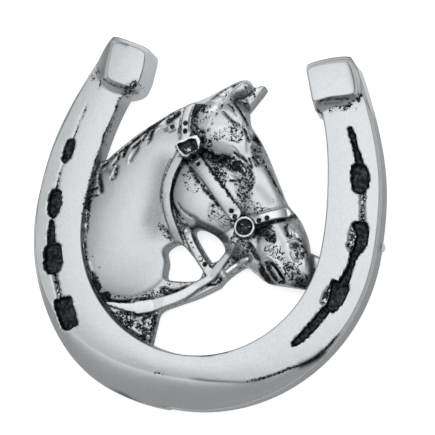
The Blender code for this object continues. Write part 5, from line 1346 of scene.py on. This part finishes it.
def shoe_places(x, y):
    """Where points lie on the shoe: distance from the toe, offset outwards, and whether on its left."""
    tree = KDTree(len(LINE_X))
    for i, place in enumerate(zip(LINE_X, LINE_Y)):
        tree.insert((*place, 0.0), i)
    tree.balance()
    nearest = np.array([tree.find((abs(px), py, 0.0))[1] for px, py in zip(x, y)])
    off_x, off_y = np.abs(x) - LINE_X[nearest], y - LINE_Y[nearest]
    outwards = off_x * OUT_X[nearest] + off_y * OUT_Y[nearest]
    return LINE_DISTANCE[nearest] - off_x * OUT_Y[nearest] + off_y * OUT_X[nearest], outwards, x < 0


def shoe_finish(x, y, z, distance, outwards, on_left, on_shoe_body):
    """Black, unbroken black, and tarnish with painted shade and reflection, of the shoe's marks and nail
    creases.
    """
    dark, unbroken, grey = (np.zeros(x.shape) for _ in range(3))
    draw_marks(SHOE_MARKS, x, y, dark, grey)
    near_top = smooth_step((z - MARKS_FROM) / MARKS_FADE)
    dark, grey = dark * near_top, grey * near_top
    for side, of_side in (("left", on_left), ("right", ~on_left)):
        here = of_side & on_shoe_body & (z < THICKNESS + FACE_CLEARANCE)
        _, cut_dark, unbroken[here] = crease_cut(distance[here], outwards[here], side)
        dark[here] = np.maximum(dark[here], cut_dark)
    return dark, unbroken, grey


def finish_attributes(casting, relief):
    """Stores each point's black, its tarnish and painted light, and the painted shade of the walls there."""
    x, y, z = (points_of(casting.data) / MM - (*TOE_CENTRE, 0.0)).T
    distance, outwards, on_left = shoe_places(x, y)
    past_web = -half_web(distance) - outwards
    on_block = (distance > BRANCH_END - BLOCK_RUN) & (past_web < BLOCK_OVERHANG)
    on_shoe_body = (past_web < SEAM) | on_block
    shoe_dark, unbroken, shoe_grey = shoe_finish(x, y, z, distance, outwards, on_left, on_shoe_body)
    crevice = CREVICE_DARK * bell(past_web, CREVICE_BREADTH) * on_left * (y < CREVICE_END)
    # A wall of the head takes the walls' painted shade instead of the carved surface's finish.
    on_wall = z < relief.read(relief.height, x, y) - WALL_STARTS
    head_dark = np.where(on_wall, 0.0, np.maximum(relief.read(relief.dark, x, y), crevice))
    head_grey = np.where(on_wall, HEAD_WALL_SHADE, relief.read(relief.grey, x, y))
    near_block = smooth_step((distance - BRANCH_END + BLOCK_RUN) / BLOCK_FADE)
    wall = mix(np.where(outwards < 0, INNER_WALL_SHADE, OUTER_WALL_SHADE), BLOCK_WALL_SHADE, near_block)
    finish = {
        "patina": np.where(on_shoe_body, shoe_dark, head_dark),
        "unbroken": unbroken,
        "tarnish_and_painted_light": np.where(on_shoe_body, shoe_grey, head_grey),
        "wall": np.where(on_shoe_body, wall, HEAD_WALL_SHADE),
    }
    for name, values in finish.items():
        layer = casting.data.attributes.new(name, "FLOAT", "POINT")
        layer.data.foreach_set("value", values)


def add_node(tree, kind, settings=(), values=(), links=()):
    """Adds a node with its settings, socket values and links in."""
    node = tree.nodes.new(kind)
    for key, value in dict(settings).items():
        setattr(node, key, value)
    for key, value in dict(values).items():
        node.inputs[key].default_value = value
    for key, source in dict(links).items():
        tree.links.new(source, node.inputs[key])
    return node


def blackened(tree, place):
    """Where the black stayed, from 0 to 1: speckled where it was half wiped away, unbroken in the creases."""
    patina = add_node(tree, "ShaderNodeAttribute", {"attribute_name": "patina"}).outputs["Fac"]
    pores = add_node(tree, "ShaderNodeTexNoise", {},
                     {"Scale": 1 / (PORE_SIZE * MM), "Detail": 2.0, "Roughness": 0.6, "Distortion": 0.7},
                     {"Vector": place}).outputs["Fac"]
    centred = add_node(tree, "ShaderNodeMath", {"operation": "MULTIPLY_ADD"},
                       {1: PORE_CONTRAST, 2: -PORE_CONTRAST / 2}, {0: pores})
    held = add_node(tree, "ShaderNodeMapRange", {}, {"From Max": PORES_COUNT_FROM}, {"Value": patina})
    filled = add_node(tree, "ShaderNodeMapRange", {},
                      {"From Min": NEARLY_BLACK, "From Max": 1.0, "To Min": 1.0, "To Max": PORES_IN_BLACK},
                      {"Value": patina})
    play = add_node(tree, "ShaderNodeMath", {"operation": "MULTIPLY"}, {},
                    {0: held.outputs["Result"], 1: filled.outputs["Result"]})
    lift = add_node(tree, "ShaderNodeMath", {"operation": "MULTIPLY_ADD"}, {},
                    {0: centred.outputs[0], 1: play.outputs[0], 2: patina})
    speckled = add_node(tree, "ShaderNodeMapRange", {"interpolation_type": "SMOOTHSTEP"},
                        {"From Min": SPECKLE_EDGE[0], "From Max": SPECKLE_EDGE[1]},
                        {"Value": lift.outputs[0]}).outputs["Result"]
    unbroken = add_node(tree, "ShaderNodeAttribute", {"attribute_name": "unbroken"}).outputs["Fac"]
    crease = add_node(tree, "ShaderNodeMapRange", {"interpolation_type": "SMOOTHSTEP"},
                      {"From Min": CREASE_EDGE[0], "From Max": CREASE_EDGE[1]},
                      {"Value": unbroken}).outputs["Result"]
    return add_node(tree, "ShaderNodeMath", {"operation": "MAXIMUM"}, {}, {0: speckled, 1: crease}).outputs[0]


def wiped_metal(tree, place, finish):
    """The bare metal's colour, greyed by tarnish and painted shade, most on the sheer sides, brighter for
    painted highlights.
    """
    open_tarnish_and_painted_light = add_node(tree, "ShaderNodeAttribute", {"attribute_name": "tarnish_and_painted_light"}).outputs["Fac"]
    wall_painted_shade = add_node(tree, "ShaderNodeAttribute", {"attribute_name": "wall"}).outputs["Fac"]
    facing = add_node(tree, "ShaderNodeNewGeometry").outputs["True Normal"]
    upright = add_node(tree, "ShaderNodeSeparateXYZ", {}, {}, {"Vector": facing}).outputs["Z"]
    steep = add_node(tree, "ShaderNodeMapRange", {"interpolation_type": "SMOOTHSTEP"},
                     {"From Min": SHEER[0], "From Max": SHEER[1]}, {"Value": upright}).outputs["Result"]
    tarnish_and_painted_light = add_node(tree, "ShaderNodeMix", {"data_type": "FLOAT"}, {},
                       {"Factor": steep, "A": open_tarnish_and_painted_light, "B": wall_painted_shade}).outputs["Result"]
    cloud = add_node(tree, "ShaderNodeTexNoise", {},
                     {"Scale": 1 / (CLOUD_SIZE * MM), "Detail": 3.0, "Roughness": 0.7},
                     {"Vector": place}).outputs["Fac"]
    dull = add_node(tree, "ShaderNodeMapRange", {},
                    {"From Min": 0.3, "From Max": 0.7, "To Min": CLOUD_TARNISH[0],
                     "To Max": CLOUD_TARNISH[1]}, {"Value": cloud})
    greyed = add_node(tree, "ShaderNodeMath", {"operation": "ADD"}, {}, {0: dull.outputs["Result"], 1: tarnish_and_painted_light})
    return add_node(tree, "ShaderNodeMix", {"data_type": "RGBA", "clamp_factor": False},
                    {"A": (*finish.metal_colour, 1.0), "B": (*finish.tarnish_and_shade_colour, 1.0)},
                    {"Factor": greyed.outputs[0]}).outputs["Result"]


def black_coat(tree, place, finish):
    """The black's colour, deep where it lies thick and greyer where it is worn thin."""
    patches = add_node(tree, "ShaderNodeTexNoise", {},
                       {"Scale": 1 / (PATCH_SIZE * MM), "Detail": 4.0, "Roughness": 0.75},
                       {"Vector": place}).outputs["Fac"]
    thin = add_node(tree, "ShaderNodeMapRange", {},
                    {"From Min": WORN_THIN[0], "From Max": WORN_THIN[1]}, {"Value": patches})
    return add_node(tree, "ShaderNodeMix", {"data_type": "RGBA"},
                    {"A": (*finish.patina_colour, 1.0), "B": (*finish.worn_patina_colour, 1.0)},
                    {"Factor": thin.outputs["Result"]}).outputs["Result"]


def hand_worn_surface(tree, place, black):
    """Hair lines from wiping, soft dents of the cast skin, and the black lying a little deeper."""
    turned = add_node(tree, "ShaderNodeMapping", {},
                      {"Scale": (1.0, HAIR_STRETCH, 1.0), "Rotation": (0.0, 0.0, HAIR_TURN)},
                      {"Vector": place})
    hair = add_node(tree, "ShaderNodeTexNoise", {}, {"Scale": 1 / (HAIR_SIZE * MM), "Detail": 3.0},
                    {"Vector": turned.outputs["Vector"]}).outputs["Fac"]
    soft = add_node(tree, "ShaderNodeTexNoise", {}, {"Scale": 1 / (DENT_SIZE * MM), "Detail": 2.0},
                    {"Vector": place}).outputs["Fac"]
    lines = add_node(tree, "ShaderNodeBump", {}, {"Strength": 0.3, "Distance": HAIR_DEPTH}, {"Height": hair})
    dents = add_node(tree, "ShaderNodeBump", {}, {"Strength": 0.5, "Distance": DENT_DEPTH},
                     {"Height": soft, "Normal": lines.outputs["Normal"]})
    bare = add_node(tree, "ShaderNodeMath", {"operation": "SUBTRACT"}, {0: 1.0}, {1: black})
    return add_node(tree, "ShaderNodeBump", {}, {"Strength": 0.6, "Distance": BLACK_DEPTH},
                    {"Height": bare.outputs[0], "Normal": dents.outputs["Normal"]}).outputs["Normal"]


def antique_pewter(finish):
    """Cast pewter, blackened, then tumbled and wiped: satin on what stands up, black in what lies deep."""
    material = bpy.data.materials.new("antique_pewter")
    material.use_nodes = True
    tree = material.node_tree
    place = add_node(tree, "ShaderNodeTexCoord").outputs["Object"]
    black = blackened(tree, place)
    metal = wiped_metal(tree, place, finish)
    coat = black_coat(tree, place, finish)
    colour = add_node(tree, "ShaderNodeMix", {"data_type": "RGBA"}, {},
                      {"Factor": black, "A": metal, "B": coat})
    metallic = add_node(tree, "ShaderNodeMapRange", {},
                        {"To Min": 1.0, "To Max": BLACK_METALLIC}, {"Value": black})
    rough = add_node(tree, "ShaderNodeMapRange", {},
                     {"To Min": finish.metal_roughness, "To Max": finish.patina_roughness}, {"Value": black})
    shader = tree.nodes["Principled BSDF"]
    tree.links.new(colour.outputs["Result"], shader.inputs["Base Color"])
    tree.links.new(metallic.outputs["Result"], shader.inputs["Metallic"])
    tree.links.new(rough.outputs["Result"], shader.inputs["Roughness"])
    tree.links.new(hand_worn_surface(tree, place, black), shader.inputs["Normal"])
    return material


def white_floor(settings):
    """Matt white card, lit from within a little, so that it stays pale and shadows stay soft."""
    material = bpy.data.materials.new("white_floor")
    material.use_nodes = True
    inputs = material.node_tree.nodes["Principled BSDF"].inputs
    inputs["Base Color"].default_value = (*settings.floor_colour, 1.0)
    inputs["Roughness"].default_value = FLOOR_ROUGHNESS
    inputs["Emission Color"].default_value = WHITE
    inputs["Emission Strength"].default_value = FLOOR_GLOW
    return material


def white_tent(settings):
    """An even white surround, which the metal mirrors softly."""
    world = bpy.data.worlds.new("tent")
    world.use_nodes = True
    inputs = world.node_tree.nodes["Background"].inputs
    inputs["Color"].default_value = WHITE
    inputs["Strength"].default_value = settings.surround
    return world


def softbox(name, power):
    """A large rectangular light overhead."""
    bpy.ops.object.light_add(type="AREA", location=SOFTBOX_AT)
    light = bpy.context.object
    light.name = name
    light.rotation_mode = "QUATERNION"
    light.rotation_quaternion = (Vector(SOFTBOX_AIM) - Vector(SOFTBOX_AT)).to_track_quat("-Z", "Y")
    light.data.shape = "RECTANGLE"
    light.data.size, light.data.size_y = SOFTBOX_SIZE
    light.data.energy = power


def place_camera():
    """The camera looks down on the ornament from where the picture was taken."""
    away = Vector((math.sin(CAMERA_AZIMUTH) * math.cos(CAMERA_ELEVATION), -math.sin(CAMERA_ELEVATION),
                   math.cos(CAMERA_AZIMUTH) * math.cos(CAMERA_ELEVATION)))
    level = Vector((0.0, 1.0, 0.0)).cross(away).normalized()
    upright = away.cross(level)
    c, s = math.cos(CAMERA_ROLL), math.sin(CAMERA_ROLL)
    right, up = level * c + upright * s, upright * c - level * s
    eye = away * CAMERA_DISTANCE + Vector((*TOE_CENTRE, 0.0))
    bpy.ops.object.camera_add()
    camera = bpy.context.object
    camera.name = "camera"
    camera.matrix_world = Matrix.Translation(eye * MM) @ Matrix((right, up, away)).transposed().to_4x4()
    camera.data.sensor_width = SENSOR
    camera.data.lens = SENSOR * CAMERA_DISTANCE * PIXELS_PER_MM / PICTURE_SIZE
    camera.data.shift_x = (PICTURE_SIZE / 2 - PICTURE_CENTRE[0]) / PICTURE_SIZE
    camera.data.shift_y = (PICTURE_CENTRE[1] - PICTURE_SIZE / 2) / PICTURE_SIZE
    camera.data.clip_start = CAMERA_CLIP
    bpy.context.scene.camera = camera


class HORSESHOE_OT_casting(bpy.types.Operator):
    """Carve the whole ornament as one casting: the shoe, its heel blocks and lug, and the horse's head"""

    bl_idname = "horseshoe.casting"
    bl_label = "Carve the casting"

    def execute(self, context):
        settings = context.scene.horseshoe_casting
        casting = skin("cast_horseshoe", shoe_rings(settings.crease_pitch / MM))
        relief = HeadRelief(settings.relief_pitch / MM, settings.edge_round / MM)
        boolean(casting, head_solid(relief), "UNION")
        for side in ("left", "right"):
            boolean(casting, skin("heel_block", heel_block_rings(side)), "UNION")
        boolean(casting, lug(), "UNION")
        select_only(casting)
        bpy.ops.object.shade_smooth_by_angle(angle=math.radians(SHARP_FROM))
        finish_attributes(casting, relief)
        casting.data.materials.clear()
        casting.data.materials.append(antique_pewter(context.scene.horseshoe_finish))
        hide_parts("horseshoe")
        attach(casting, "root")
        return {"FINISHED"}


class HORSESHOE_OT_studio(bpy.types.Operator):
    """Set the ornament on a pale floor under soft light, seen from where the picture was taken"""

    bl_idname = "horseshoe.studio"
    bl_label = "Set up the studio"

    def execute(self, context):
        settings = context.scene.horseshoe_studio
        bpy.ops.object.select_all(action="DESELECT")
        bpy.ops.mesh.primitive_plane_add(size=FLOOR_SIZE, location=(0.0, 0.0, -FLOOR_CLEARANCE))
        floor = context.object
        floor.name = "floor"
        floor.data.materials.append(white_floor(settings))
        softbox("overhead_softbox", settings.overhead_power)
        context.scene.world = white_tent(settings)
        context.scene.view_settings.view_transform = "Standard"
        place_camera()
        return {"FINISHED"}


class HORSESHOE_PT_panel(bpy.types.Panel):
    """The settings of the casting, its finish and the studio, and the steps in their order"""

    bl_idname = "HORSESHOE_PT_panel"
    bl_label = "Horseshoe"
    bl_space_type = "VIEW_3D"
    bl_region_type = "UI"
    bl_category = "Horseshoe"

    def draw(self, context):
        for group in SETTINGS:
            box = self.layout.box()
            settings = getattr(context.scene, group)
            for name in settings.bl_rna.properties.keys()[2:]:
                box.prop(settings, name)
        for operator in OPERATORS:
            self.layout.operator(operator.bl_idname)


SETTINGS = {
    "horseshoe_casting": CastingSettings,
    "horseshoe_finish": FinishSettings,
    "horseshoe_studio": StudioSettings,
}
OPERATORS = (HORSESHOE_OT_casting, HORSESHOE_OT_studio)


def register():
    """Adds the settings, the operators and the panel."""
    for kind in (*SETTINGS.values(), *OPERATORS, HORSESHOE_PT_panel):
        bpy.utils.register_class(kind)
    for name, kind in SETTINGS.items():
        setattr(bpy.types.Scene, name, bpy.props.PointerProperty(type=kind))


def unregister():
    """Takes out all that register added."""
    for name in SETTINGS:
        delattr(bpy.types.Scene, name)
    for kind in (HORSESHOE_PT_panel, *reversed(OPERATORS), *reversed(SETTINGS.values())):
        bpy.utils.unregister_class(kind)


def main():
    """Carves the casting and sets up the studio."""
    register()
    bpy.ops.horseshoe.casting()
    bpy.ops.horseshoe.studio()


if __name__ == "__main__":
    main()
